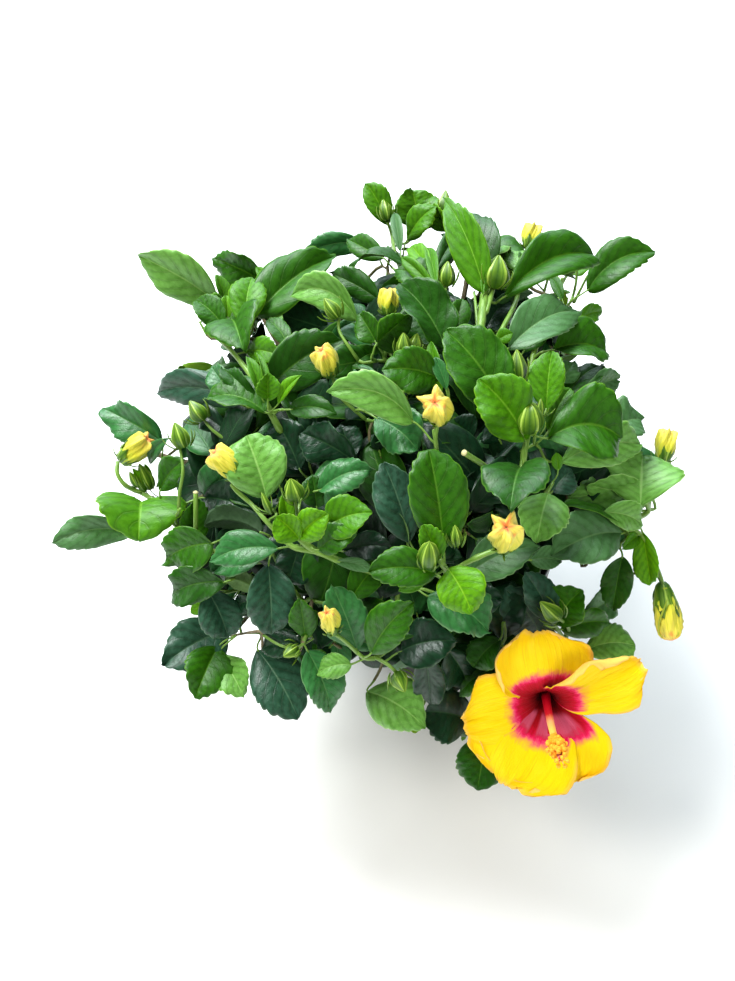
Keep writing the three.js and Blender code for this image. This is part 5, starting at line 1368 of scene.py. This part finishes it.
# leaves with a rounder end than most, or a sharper one
BLUNT = {"R2b": 0.28, "T7": 0.28, "R12": 0.28, "C18": 0.28, "L21": 0.28, "R1": 0.28, "C21": 0.28, "S6": 0.28, "L8": -0.5, "T4": -0.3, "L3": -0.2}
jobs = []
for row in LEAVES:
    name, foot, tip, width, roll, fold, arch, kind, start, bow = row
    foot, tip = np.array(foot, float), np.array(tip, float)
    a = unit(tip - foot)
    if start is None:
        inward = unit(CROWN - foot + np.array([0, 0, -40.0]))
        start = foot - a * 9 + inward * 9
    start = np.array(start, float)
    jobs.append((limbs.nearest(start)[1], name, foot, tip, width, roll, fold, arch, kind, start, a, bow))
hero_points = []
for dist, name, foot, tip, width, roll, fold, arch, kind, start, a, bow in sorted(jobs, key=lambda j: j[0]):
    rng = name_rng(name)
    n = eye_normal(foot, tip, roll)
    big = width > 16
    # a little roll of its own, and a midrib that rises from the stalk and droops to the tip
    tilt = math.radians(rng.uniform(-9, 9)) if big else 0.0
    n = n * math.cos(tilt) + np.cross(a, n) * math.sin(tilt)
    up_seen = np.array([0.0, math.sin(DOWN), math.cos(DOWN)])
    bow_side = (up_seen - a * (a @ up_seen)) * bow * np.linalg.norm(tip - foot)
    # the width is the one seen from the front, so a folded or rolled blade is really wider
    fold += rng.uniform(6, 14)
    real = 1.0 / ((0.5 + 0.5 * math.cos(math.radians(fold))) * max(math.cos(math.radians(roll)), 0.66)) if big and abs(roll) < 60 else 1.0
    P = blade(bins[kind], foot, tip, n, min(width * real * 1.0, 1.3 * np.linalg.norm(tip - foot) + 22), fold, arch + 8, rng, rows=44 if big else 16, cells=10 if big else 8,
              quilt=2.1 if kind in "PBTG" else 2.0, wave=(1.8 if kind in "KTGD" else 1.1) if big else 0.5, teeth=1.0 if big else 0.5, bow_side=bow_side,
              blunt=BLUNT.get(name, 0.03))
    leaf_stalk(foot, start, a if roll < 120 else a, rng, 0.9 if big else 0.6)
    hero_points.append(P[::5, ::4].reshape(-1, 3))
hero_points = np.vstack(hero_points)

# buds
for name, kind, foot, tip, width in BUDS:
    foot, tip = np.array(foot, float), np.array(tip, float)
    rng = name_rng(name)
    if kind in ("yel", "star", "hang"):
        yellow_bud(foot, tip, width, rng, kind)
    else:
        green_bud(foot, tip, width, rng, kind)
    hero_points = np.vstack([hero_points, 0.5 * (foot + tip)[None], tip[None]])

# ---------------------------------------------------------------- the open flower
PETALS = (
    # azimuth in the flower's own plane, length, width, flare, rolled margins, lift of the margins, bend of the tip,
    # whether it has the eye's pale patches, how far out the eye goes
    (105, 82, 84, 84, (0, 3.3), (-5, 6), 4, False, 0.49),
    (194, 80, 84, 75, (0, 0), (-4, 2), 4, False, 0.49),
    (247, 88, 94, 72, (0, 0), (-4, 3), 8, True, 0.51),
    (283, 85, 88, 72, (0, 0), (-4, -5), 6, True, 0.56),
    (45, 101, 66, 78, (0, 3.0), (4, 8), 2, False, 0.43),
)
for i, (az, length, width, flare, rolled, lift, bend, lower, eye) in enumerate(PETALS):
    petal(bins["petals_low" if lower else "petals"], az, length, width, flare, np.random.default_rng(300 + i), rolled=rolled, lift=lift, tip_bend=bend, eye=eye, waist={45: 0.20, 283: -0.14}.get(az, 0.0), cut={45: 0.12, 105: -0.10}.get(az, 0.0))

up = unit(np.array([0, 0, 1.0]) - FLOWER_FACES * FLOWER_FACES[2])
right = np.cross(up, FLOWER_FACES)
col_path = spline([FLOWER_AT - FLOWER_FACES * 8, FLOWER_AT + FLOWER_FACES * 18 + up * 0.5, FLOWER_AT + FLOWER_FACES * 44 - up * 3.0 + right * 2.0, FLOWER_AT + FLOWER_FACES * 70 - up * 5.0 + right * 5.0], 30)
tube(bins["column"], col_path, np.interp(np.linspace(0, 1, 30), [0, 0.2, 0.8, 1], [4.2, 3.4, 2.6, 2.0]), sides=14, uv_len=74)
rng = np.random.default_rng(77)
for k in range(150):
    s = rng.uniform(0.76, 0.97)
    p = col_path[int(s * 29)] + FLOWER_FACES * rng.uniform(-1, 1)
    th = k * 2.39996
    rad = math.cos(th) * right + math.sin(th) * up
    out = unit(rad + FLOWER_FACES * rng.uniform(-0.1, 0.5))
    end = p + out * rng.uniform(4.0, 7.4) * (1.1 - 0.5 * abs(s - 0.88) / 0.12)
    tube(bins["column"], np.array([p, end]), [0.4, 0.3], sides=4, uv_len=9, caps=(False, False))
    seed_ball(bins["anthers"], end, rng.uniform(1.8, 2.6), (1.0, 0.85, 0.75), rng, 8, 6, 0.5, 0.12)
tip_at, tip_way = col_path[-1], unit(col_path[-1] - col_path[-3])
for k in range(5):
    th = k * 2 * math.pi / 5 + 0.4
    rad = math.cos(th) * right + math.sin(th) * up
    end = tip_at + tip_way * 5.5 + rad * 4.2
    tube(bins["column"], spline([tip_at - tip_way * 1, tip_at + tip_way * 2.5 + rad * 1.0, end], 6), 0.55, sides=6, uv_len=9)
    seed_ball(bins["anthers"], end, 1.9, (1, 1, 0.75), rng, 10, 7, 0.3, 0.10)

# its green cup, bracts and stalk
back = FLOWER_AT - FLOWER_FACES * 8
cup_z = np.array([-19, -17, -13, -9, -5, -1, 2, 1.5, -2, -6, -10])
cup_r = np.array([1.5, 4.0, 6.0, 7.0, 7.6, 8.6, 10.2, 9.6, 7.8, 6.8, 6.0])
spindle(bins["buds"], back, FLOWER_FACES, cup_z, cup_r, 30, lambda a, i: 1 + 0.04 * np.cos(5 * a), np.linspace(0, 1, 11),
        lambda a, i: (6.0 * star5(a, 0.3, 0.8) - 3.0) * (1.0 if i in (6, 7) else 0.3 if i in (5, 8) else 0.0))
bracts(bins["buds"], back - FLOWER_FACES * 15, FLOWER_FACES, 16, 6.0, 8, np.random.default_rng(5), 2.0)
grow(bins["twigs"], back - FLOWER_FACES * 17, 2.0, np.random.default_rng(9), way=FLOWER_FACES, sides=9)

# ---------------------------------------------------------------- leaves grown by rule through the masses
MASSES = sorted(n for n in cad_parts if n.startswith("leaves_"))
trees = {}
for n in MASSES:
    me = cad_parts[n].data
    trees[n] = BVHTree.FromPolygons([v.co[:] for v in me.vertices], [p.vertices[:] for p in me.polygons])
boxes = {n: (1000 * np.array(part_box(n)[0]), 1000 * np.array(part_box(n)[1])) for n in MASSES}
ray_way = Vector((0.0123, 0.0217, 0.9997)).normalized()


def inside_one(n, p):
    lo, hi = boxes[n]
    if np.any(p < lo) or np.any(p > hi):
        return False
    at = Vector(p * MM)
    hits = 0
    for _ in range(24):
        loc, nor, idx, dist = trees[n].ray_cast(at, ray_way)
        if loc is None:
            break
        hits += 1
        at = loc + ray_way * 1e-5
    return hits % 2 == 1


def inside_any(p):
    return any(inside_one(n, p) for n in MASSES)


def depth_from_eye(p):
    """How far p lies behind the crown's front, along the line of sight. Big when the crown's edge is near."""
    way = unit(p - EYE)
    A, B = (EYE - CROWN) / CROWN_R, way / CROWN_R
    a, b, c = B @ B, 2 * A @ B, A @ A - 1
    disc = b * b - 4 * a * c
    t = (-b - math.sqrt(disc)) / (2 * a) if disc > 0 else -b / (2 * a)
    return np.linalg.norm(p - EYE) - t


def crown_out(p):
    return unit((p - CROWN) / CROWN_R ** 2)


# Windows of open air seen from the front, where no leaf grows by rule: across, down, half width, half height,
# as slopes from the line of sight.
SKY = (
    (0.3161, -0.0561, 0.0167, 0.0144),
    (0.2611, 0.0960, 0.0150, 0.0200),
    (0.0806, 0.2906, 0.0250, 0.0244),
    (0.1272, -0.3250, 0.0280, 0.0189),
    (-0.2272, -0.0139, 0.0144, 0.0267),
    (0.2361, 0.0950, 0.0467, 0.0289),
    (-0.0739, 0.1172, 0.0122, 0.0078),
    (-0.1383, 0.1750, 0.0200, 0.0289),
    (-0.0961, 0.1672, 0.0211, 0.0100),
    (-0.0061, 0.2417, 0.0289, 0.0578),
    (0.0628, -0.2828, 0.0156, 0.0200),
    (0.1028, -0.2339, 0.0111, 0.0244),
    (0.2383, -0.1450, 0.0289, 0.0133),
    (-0.2083, -0.1639, 0.0533, 0.0267),
    (-0.1328, -0.2917, 0.0689, 0.0267),
    (-0.0417, -0.3050, 0.0333, 0.0222),
    (-0.0250, -0.2228, 0.0111, 0.0111),
    (0.3083, -0.1983, 0.0467, 0.0422),
    (0.2139, -0.3228, 0.0667, 0.0289),
    (0.3583, 0.0328, 0.0444, 0.0422),
    (-0.2528, 0.1239, 0.0267, 0.0489),
    (-0.2861, 0.0106, 0.0311, 0.0244),
    (-0.3417, -0.0228, 0.0556, 0.0444),
    (-0.0750, 0.2828, 0.0778, 0.0267),
    (-0.1694, 0.2550, 0.0333, 0.0244),
    (0.0361, 0.2994, 0.0556, 0.0289),
    (0.3194, 0.1661, 0.0222, 0.0667),
    (-0.2417, -0.0894, 0.0267, 0.0222),
    (-0.2972, 0.0994, 0.0667, 0.0311),
    (0.3161, -0.0983, 0.0400, 0.0444),
    (0.0072, -0.2983, 0.0189, 0.0400),
    (-0.0117, -0.2450, 0.0400, 0.0167),
    (0.2428, -0.2117, 0.0222, 0.0222),
    (-0.2306, -0.0283, 0.0178, 0.0200),
    (0.3183, 0.0439, 0.0156, 0.0267),
    (0.2917, 0.0828, 0.0156, 0.0200),
    (0.1883, -0.2239, 0.0144, 0.0122),
    (0.2683, -0.1561, 0.0111, 0.0311),
    (-0.1083, -0.1694, 0.0122, 0.0156),
    (-0.2172, 0.1383, 0.0150, 0.0220),
    (-0.0817, 0.2528, 0.0200, 0.0120),
    (-0.1306, 0.1711, 0.0180, 0.0300),
    (-0.1783, -0.1561, 0.0200, 0.0240),
    (-0.2417, -0.2261, 0.0260, 0.0180),
    (-0.2528, 0.0528, 0.0330, 0.0140),
    (-0.2972, -0.0728, 0.0200, 0.0240),
    (0.1150, 0.3350, 0.0220, 0.0140),
    (0.1517, -0.2850, 0.0120, 0.0200),
    (0.2617, -0.2790, 0.0400, 0.0130),
    (-0.1172, -0.2539, 0.0260, 0.0160),
    (-0.2150, -0.0872, 0.0150, 0.0240),
)


def in_sky(p):
    q = p - EYE
    z = q @ LOOK
    x, y = q[0] / z, -(q @ np.array([0.0, math.sin(DOWN), math.cos(DOWN)])) / z
    return any(((x - cx) / rx) ** 2 + ((y - cy) / ry) ** 2 < 1 for cx, cy, rx, ry in SKY)


hero_q = hero_points - EYE
hero_z = hero_q @ LOOK
hero_x, hero_y = hero_q[:, 0] / hero_z, -(hero_q @ np.array([0.0, math.sin(DOWN), math.cos(DOWN)])) / hero_z


def before_named(p):
    """Whether p would hide a leaf or bud that has a place of its own."""
    q = p - EYE
    z = q @ LOOK
    x, y = q[0] / z, -(q @ np.array([0.0, math.sin(DOWN), math.cos(DOWN)])) / z
    near = (np.abs(hero_x - x) < 0.015) & (np.abs(hero_y - y) < 0.015)
    return bool(np.any(hero_z[near] > z + 5))


stations = []
rng = np.random.default_rng(31)
for _ in range(5200):
    p = CROWN + CROWN_R * rng.uniform(-0.9, 0.9, 3)
    rho = np.linalg.norm((p - CROWN) / CROWN_R)
    d = depth_from_eye(p)
    if rho > 0.86 or p[2] < 192 or d < 48 or d > 175 or in_sky(p):
        continue
    if any(np.linalg.norm(p - q) < 25 for q, _, _ in stations):
        continue
    stations.append((p, "inner", None))
rng = np.random.default_rng(67)
for _ in range(9000):
    p = CROWN + CROWN_R * rng.uniform(-0.95, 0.95, 3)
    rho = np.linalg.norm((p - CROWN) / CROWN_R)
    d = depth_from_eye(p)
    if not 0.60 < rho < 0.86 or p[2] < 205 or d < 120 or in_sky(p) or crown_out(p) @ unit(EYE - p) > 0.05:
        continue
    if any(np.linalg.norm(p - q) < 40 for q, _, _ in stations):
        continue
    stations.append((p, "flank", None))
for mi, n in enumerate(MASSES):
    lo, hi = boxes[n]
    rng = np.random.default_rng(900 + mi)
    volume = np.prod(hi - lo) / 1e3
    tries = int(26 + volume / 12)
    for _ in range(tries):
        p = lo + (hi - lo) * rng.uniform(0.08, 0.92, 3)
        if not inside_one(n, p):
            continue
        d = depth_from_eye(p)
        rho = np.linalg.norm((p - CROWN) / CROWN_R)
        facing = crown_out(p) @ unit(EYE - p)
        if facing > 0.22 or in_sky(p):
            continue
        else:
            if rho < 0.66:
                continue
            gap, role = 36.0, "outer"
        if any(np.linalg.norm(p - q) < gap for q, _, _ in stations):
            continue
        if role == "outer" and np.min(np.linalg.norm(hero_points - p, axis=1)) < 26:
            continue
        stations.append((p, role, n))

placed = 0
stations.sort(key=lambda s: limbs.nearest(s[0])[1])
for si, (p, role, n) in enumerate(stations):
    rng = np.random.default_rng(5000 + int(abs(p @ np.array([731.0, 1793.0, 2837.0]))))
    out = crown_out(p)
    high = (p[2] - CROWN[2]) / CROWN_R[2]
    if role == "inner":
        axis = unit(0.55 * unit(EYE - p) + 0.45 * np.array([0, 0, 1.0]) + rng.normal(0, 0.35, 3))
    else:
        axis = unit(out * 0.9 + np.array([0, 0, 0.55 + 0.25 * max(high, 0)]) + rng.normal(0, 0.18, 3))
    foot = p - axis * 24
    X = unit(np.cross(axis, [0.2, 0.7, 0.4]))
    Y = np.cross(axis, X)
    count = {"inner": 4, "flank": 6, "outer": 7}[role]
    turn = rng.uniform(0, 6.28)
    spray = []
    for k in range(count):
        f = k / (count - 1)
        at = foot + axis * (28 * f)
        th = turn + k * 2.39996 + rng.uniform(-0.2, 0.2)
        rad = math.cos(th) * X + math.sin(th) * Y
        lean = math.radians((84 - 40 * f ** 2) + rng.uniform(-10, 10))
        way = unit(rad * math.sin(lean) + axis * math.cos(lean) + np.array([0, 0, -0.10]))
        stalk = rng.uniform(15, 24) * (1 - 0.65 * f ** 2)
        length = rng.uniform(60, 76) * (1 - 0.52 * f ** 2.2)
        for shrink in (1.0, 0.82, 0.66, 0.5):
            ln = length * shrink
            base = at + unit(rad + axis * 0.55) * stalk * (0.6 + 0.4 * shrink)
            tip = base + way * ln
            nrm = unit(axis * math.sin(lean) - rad * math.cos(lean) + 0.2 * rng.normal(0, 1, 3))
            side = np.cross(way, nrm)
            probes = [tip, base + way * ln * 0.5 + side * ln * 0.27, base + way * ln * 0.5 - side * ln * 0.27]
            more = [base, base + way * ln * 0.5, base + way * ln * 0.78 + side * ln * 0.2, base + way * ln * 0.78 - side * ln * 0.2, base + way * ln * 0.25]
            if any(in_sky(q) for q in probes + more) or any(before_named(q) for q in probes + more[:2]):
                continue
            if role == "inner":
                good = min(depth_from_eye(q) for q in probes) > 30 and min(q[2] for q in probes) > 178
            elif role == "flank":
                good = min(depth_from_eye(q) for q in probes) > 60 and min(q[2] for q in probes) > 190 and max(np.linalg.norm((q - CROWN) / CROWN_R) for q in probes) < 0.98
            else:
                good = sum(inside_any(q) for q in probes) >= (2 if out @ unit(EYE - p) < -0.25 else 3)
            if good:
                spray.append((f, at, way, base, tip, nrm, ln))
                break
    if len(spray) < 2:
        continue
    top_f = max(q[0] for q in spray)
    grow(bins["woody"], foot, 1.7, rng, way=unit(axis + 0.4 * out), sides=5)
    stem = spline([foot, foot + axis * (14 * top_f + 1), foot + axis * (28 * top_f + 2)], 6)
    tube(bins["twigs" if role == "outer" else "woody"], stem, np.linspace(1.7, 1.1, 6), sides=5)
    limbs.add(stem[:4], 1.5)
    for f, at, way, base, tip, nrm, ln in spray:
        if role == "inner":
            # the inner leaves take the darker kinds; N's darkness is painted shade
            kind = rng.choice(["K", "N", "D", "N", "T", "N"])
        elif f > 0.8:
            kind = rng.choice(["B", "Y", "B", "M"])
        elif high > 0.1:
            kind = rng.choice(["B", "M", "P", "D", "T", "M"])
        else:
            kind = rng.choice(["M", "D", "T", "K", "D", "G", "B"])
        blade(bins[kind], base, tip, nrm, ln * rng.uniform(0.58, 0.70), rng.uniform(12, 30), rng.uniform(12, 48), rng,
              rows={"outer": 19, "flank": 14, "inner": 10}[role], cells=6 if role == "outer" else 4, quilt=0.5 if role == "inner" else 1.6)
        # the stalk
        path = np.array([at, 0.5 * (at + base + way * 1.5) + axis * 1.5, base + way * 1.5])
        tube(bins["twigs"], path, [1.1, 0.75, 0.9], sides=4, caps=(False, False))
        placed += 1
print("rule leaves", placed, "stations", len(stations), "table leaves", len(LEAVES))

# ---------------------------------------------------------------- potting mix and pot
rng = np.random.default_rng(41)
WALL_IN = 96.5
nr, na = 44, 120
rad_ = np.linspace(0.02, 1, nr) * WALL_IN
ang_ = np.arange(na) * 2 * np.pi / na
waves = [(rng.uniform(0.02, 0.22, 2), rng.uniform(0, 6.28), rng.uniform(0.2, 1.0)) for _ in range(26)]
X_, Y_ = rad_[:, None] * np.cos(ang_), rad_[:, None] * np.sin(ang_)
Z_ = MIX_TOP - 1.2 - 4.0 * (rad_[:, None] / WALL_IN) ** 3 + 0 * X_
for (kx, ky), ph_, am in waves:
    sgn = -1 if am > 0.6 else 1
    Z_ = Z_ + 0.42 * am * np.sin(kx * 2.2 * X_ + sgn * ky * 2.2 * Y_ + ph_)
Z_ += rng.uniform(-0.35, 0.35, Z_.shape)
side_z = np.array([150.0, 90.0, 30.0, 4.0])
side_r = np.array([94.0, 85.0, 76.0, 71.0])
rings = [np.stack([X_[i], Y_[i], Z_[i]], -1) for i in range(nr)]
for z, r in zip(side_z, side_r):
    rings.append(np.stack([r * np.cos(ang_), r * np.sin(ang_), np.full(na, z)], -1))
rings.append(np.stack([2 * np.cos(ang_), 2 * np.sin(ang_), np.full(na, 3.4)], -1))
R_ = np.array(rings)
quads, at = grid_quads(len(R_), na, wrap=True)
uvm = np.stack([at[..., 1] / na, at[..., 0] / len(R_)], -1)
verts = np.vstack([R_.reshape(-1, 3), [[0, 0, MIX_TOP - 1.2]], [[0, 0, 3.4]]])
nn = len(R_) * na
tris = [(nn, k, (k + 1) % na) for k in range(na)] + [(nn + 1, (len(R_) - 1) * na + (k + 1) % na, (len(R_) - 1) * na + k) for k in range(na)]
bins["mix"].add(verts, quads[:, ::-1], uvm[:, ::-1], None, tris, [((0.5, 0.5), (0.52, 0.5), (0.5, 0.52))] * len(tris))
for k in range(520):
    r = WALL_IN * math.sqrt(rng.uniform(0, 0.92))
    a = rng.uniform(0, 6.28)
    z = MIX_TOP - 1.0 - 4.0 * (r / WALL_IN) ** 3
    white = k % 5 == 0
    s = rng.uniform(1.0, 2.2) if white else rng.uniform(1.4, 4.2)
    squash = (1, 0.9, 0.8) if white else (1.0, rng.uniform(0.35, 0.7), rng.uniform(0.22, 0.4))
    seed_ball(bins["perlite" if white else "chips"], (r * math.cos(a), r * math.sin(a), z), s, squash, rng, 7, 5, 0.5, 0.22)

profile = [(52.0, 0.0), (73.0, 0.0), (74.4, 0.6), (75.0, 2.0)]
for z in (20, 60, 100, 140, 160):
    profile.append((75 + 25 * z / 170.0, z))
profile += [(99.4, 166), (100.0, 169.2), (101.2, 170.0), (104.0, 170.0), (105.0, 171.0), (105.0, 173.4), (104.6, 174.2), (104.6, 186.2), (105.0, 187.2), (105.0, 189.0), (104.3, 190.0), (102.8, 190.0), (102.0, 189.2),
            (98.6, 171.5), (98.0, 169.0)]
for z in (140, 100, 60, 20):
    profile.append((73 + 25 * z / 170.0, z))
profile += [(73.5, 3.4), (72.6, 2.4), (52.0, 2.4)]


def pot_mesh():
    """The lathed wall, and a floor with six drain holes."""
    n = 144
    ang = np.arange(n) * 2 * np.pi / n
    pr = np.array(profile, float)
    P = np.stack([pr[:, 0, None] * np.cos(ang), pr[:, 0, None] * np.sin(ang), np.repeat(pr[:, 1, None], n, 1)], -1)
    quads, at = grid_quads(len(pr), n, wrap=True)
    me = bpy.data.meshes.new("pot_wall")
    verts = [tuple(v) for v in (P.reshape(-1, 3) * MM)]
    faces = [tuple(q[::-1]) for q in quads]
    c_lo, c_hi = len(verts), len(verts) + 1
    verts += [(0, 0, 0), (0, 0, 2.4 * MM)]
    last = (len(pr) - 1) * n
    for k in range(n):
        faces.append((c_lo, k, (k + 1) % n)[::-1])
        faces.append((c_hi, last + (k + 1) % n, last + k)[::-1])
    me.from_pydata(verts, [], faces)
    me.update()
    ob = bpy.data.objects.new("pot_wall", me)
    bpy.context.scene.collection.objects.link(ob)
    cut_verts, cut_faces = [], []
    for h in range(6):
        cx, cy = 52 * math.cos(h * math.pi / 3), 52 * math.sin(h * math.pi / 3)
        b = len(cut_verts)
        for z in (-3, 6):
            for k in range(32):
                t = 2 * math.pi * k / 32
                cut_verts.append(((cx + 6 * math.cos(t)) * MM, (cy + 6 * math.sin(t)) * MM, z * MM))
        for k in range(32):
            cut_faces.append((b + k, b + (k + 1) % 32, b + 32 + (k + 1) % 32, b + 32 + k))
        cut_faces.append(tuple(b + k for k in range(31, -1, -1)))
        cut_faces.append(tuple(b + 32 + k for k in range(32)))
    cm = bpy.data.meshes.new("drain_holes")
    cm.from_pydata(cut_verts, [], cut_faces)
    co = bpy.data.objects.new("drain_holes", cm)
    bpy.context.scene.collection.objects.link(co)
    mod = ob.modifiers.new("holes", "BOOLEAN")
    mod.operation, mod.object, mod.solver = "DIFFERENCE", co, "EXACT"
    bpy.context.view_layer.update()
    dg = bpy.context.evaluated_depsgraph_get()
    final = bpy.data.meshes.new_from_object(ob.evaluated_get(dg))
    bpy.data.objects.remove(ob)
    bpy.data.objects.remove(co)
    final.name = "pot_shell"
    final.polygons.foreach_set("use_smooth", [True] * len(final.polygons))
    try:
        final.set_sharp_from_angle(angle=math.radians(32))
    except Exception:
        pass
    out = bpy.data.objects.new("pot_shell", final)
    bpy.context.scene.collection.objects.link(out)
    return out


pot = pot_mesh()
pot.data.materials.clear()
pot.data.materials.append(pot_look())
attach(pot, "root")
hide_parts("pot")

# ---------------------------------------------------------------- joining
leaf_mats = leaf_materials()
for i, k in enumerate(LEAF_KINDS):
    bins[k].make("leaves_kind_" + k.lower(), leaf_mats[k], "leaves", replaces=MASSES[i::len(LEAF_KINDS)])
bins["bark"].make("bark_limbs", bark_look(), "bark", replaces=list(STEMS) + list(BOUGHS))
bins["twigs"].make("green_twigs", twig_look(), "bark")
bins["woody"].make("woody_twigs", woody_look(), "bark")
bins["buds"].make("green_buds", bud_look(), "leaves")
bins["furled"].make("furled_buds", furled_look(), "petals")
bins["petals"].make("flower_petals", petal_look("open_petals", False), "petals", replaces=["flower"])
bins["petals_low"].make("flower_petals_low", petal_look("open_petals_low", True), "petals")
bins["column"].make("flower_column", column_look(), "petals")
bins["anthers"].make("flower_anthers", anther_look(), "petals")
bins["cuts"].make("cut_ends", cut_look(), "bark")
bins["mix"].make("mix_surface", mix_look("mix_peat", (34, 25, 18), (62, 46, 33), (88, 66, 46), 160.0), "potting_mix", replaces=["potting_mix"])
bins["chips"].make("mix_chips", mix_look("mix_bark", (70, 48, 32), (104, 74, 50), (132, 100, 70), 300.0), "potting_mix")
bins["perlite"].make("mix_perlite", mix_look("mix_perlite", (214, 212, 204), (238, 237, 232), (190, 186, 176), 500.0), "potting_mix")
print("triangles", {k: b.count() for k, b in bins.items() if b.n}, sum(b.count() for b in bins.values()))

# ---------------------------------------------------------------- floor, lights, camera
fm = bpy.data.meshes.new("floor")
fm.from_pydata([(-6, -6, 0), (6, -6, 0), (6, 6, 0), (-6, 6, 0)], [], [(0, 1, 2, 3)])
floor = bpy.data.objects.new("floor", fm)
bpy.context.scene.collection.objects.link(floor)
floor.location.z = -0.0004
FL = Look("pale_floor", rough=0.85, specular=0.2)
fn = FL.noise(FL.place(), 3.0, 3.0, 0.5)
FL.color(FL.mix(fn, lin(246, 246, 246), lin(250, 250, 250)))
fm.materials.append(FL.m)
floor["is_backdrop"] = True

world = bpy.data.worlds.new("studio")
bpy.context.scene.world = world
world.use_nodes = True
bg = world.node_tree.nodes["Background"]
bg.inputs[0].default_value = (0.93, 0.97, 1.0, 1.0)
bg.inputs[1].default_value = 0.28
world.cycles_visibility.glossy = False


def softbox(name, at, aim, size, power, colour):
    d = bpy.data.lights.new(name, "AREA")
    d.shape = "SQUARE"
    d.size = size
    d.energy = power
    d.color = colour
    o = bpy.data.objects.new(name, d)
    bpy.context.scene.collection.objects.link(o)
    o.location = at
    o.rotation_euler = (Vector(aim) - Vector(at)).to_track_quat("-Z", "Y").to_euler()
    o.visible_glossy = name in ("key", "sky")
    return o


softbox("key", (-0.95, 0.75, 2.25), (-0.05, 0.0, 0.3), 0.95, 90, (0.96, 0.99, 1.0))
softbox("sky", (-0.2, 2.1, 2.0), (-0.05, 0.0, 0.3), 2.4, 84, (0.76, 0.90, 1.0))
softbox("side", (-1.3, -0.5, 1.9), (-0.05, 0.0, 0.3), 0.6, 24, (1.0, 0.97, 0.88))
softbox("fill", (0.8, -1.9, 1.5), (0.0, 0.0, 0.3), 1.4, 28, (1.0, 0.99, 0.92))

cam_data = bpy.data.cameras.new("camera")
cam_data.sensor_width = 36.0
cam_data.lens = 900.0 * 36.0 / 981.0
cam_data.clip_start, cam_data.clip_end = 0.05, 30.0
cam = bpy.data.objects.new("camera", cam_data)
bpy.context.scene.collection.objects.link(cam)
cam.location = EYE * MM
cam.rotation_euler = (math.radians(90) - DOWN, 0, 0)
bpy.context.scene.camera = cam
bpy.context.scene.view_settings.view_transform = "Standard"

lo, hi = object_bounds()
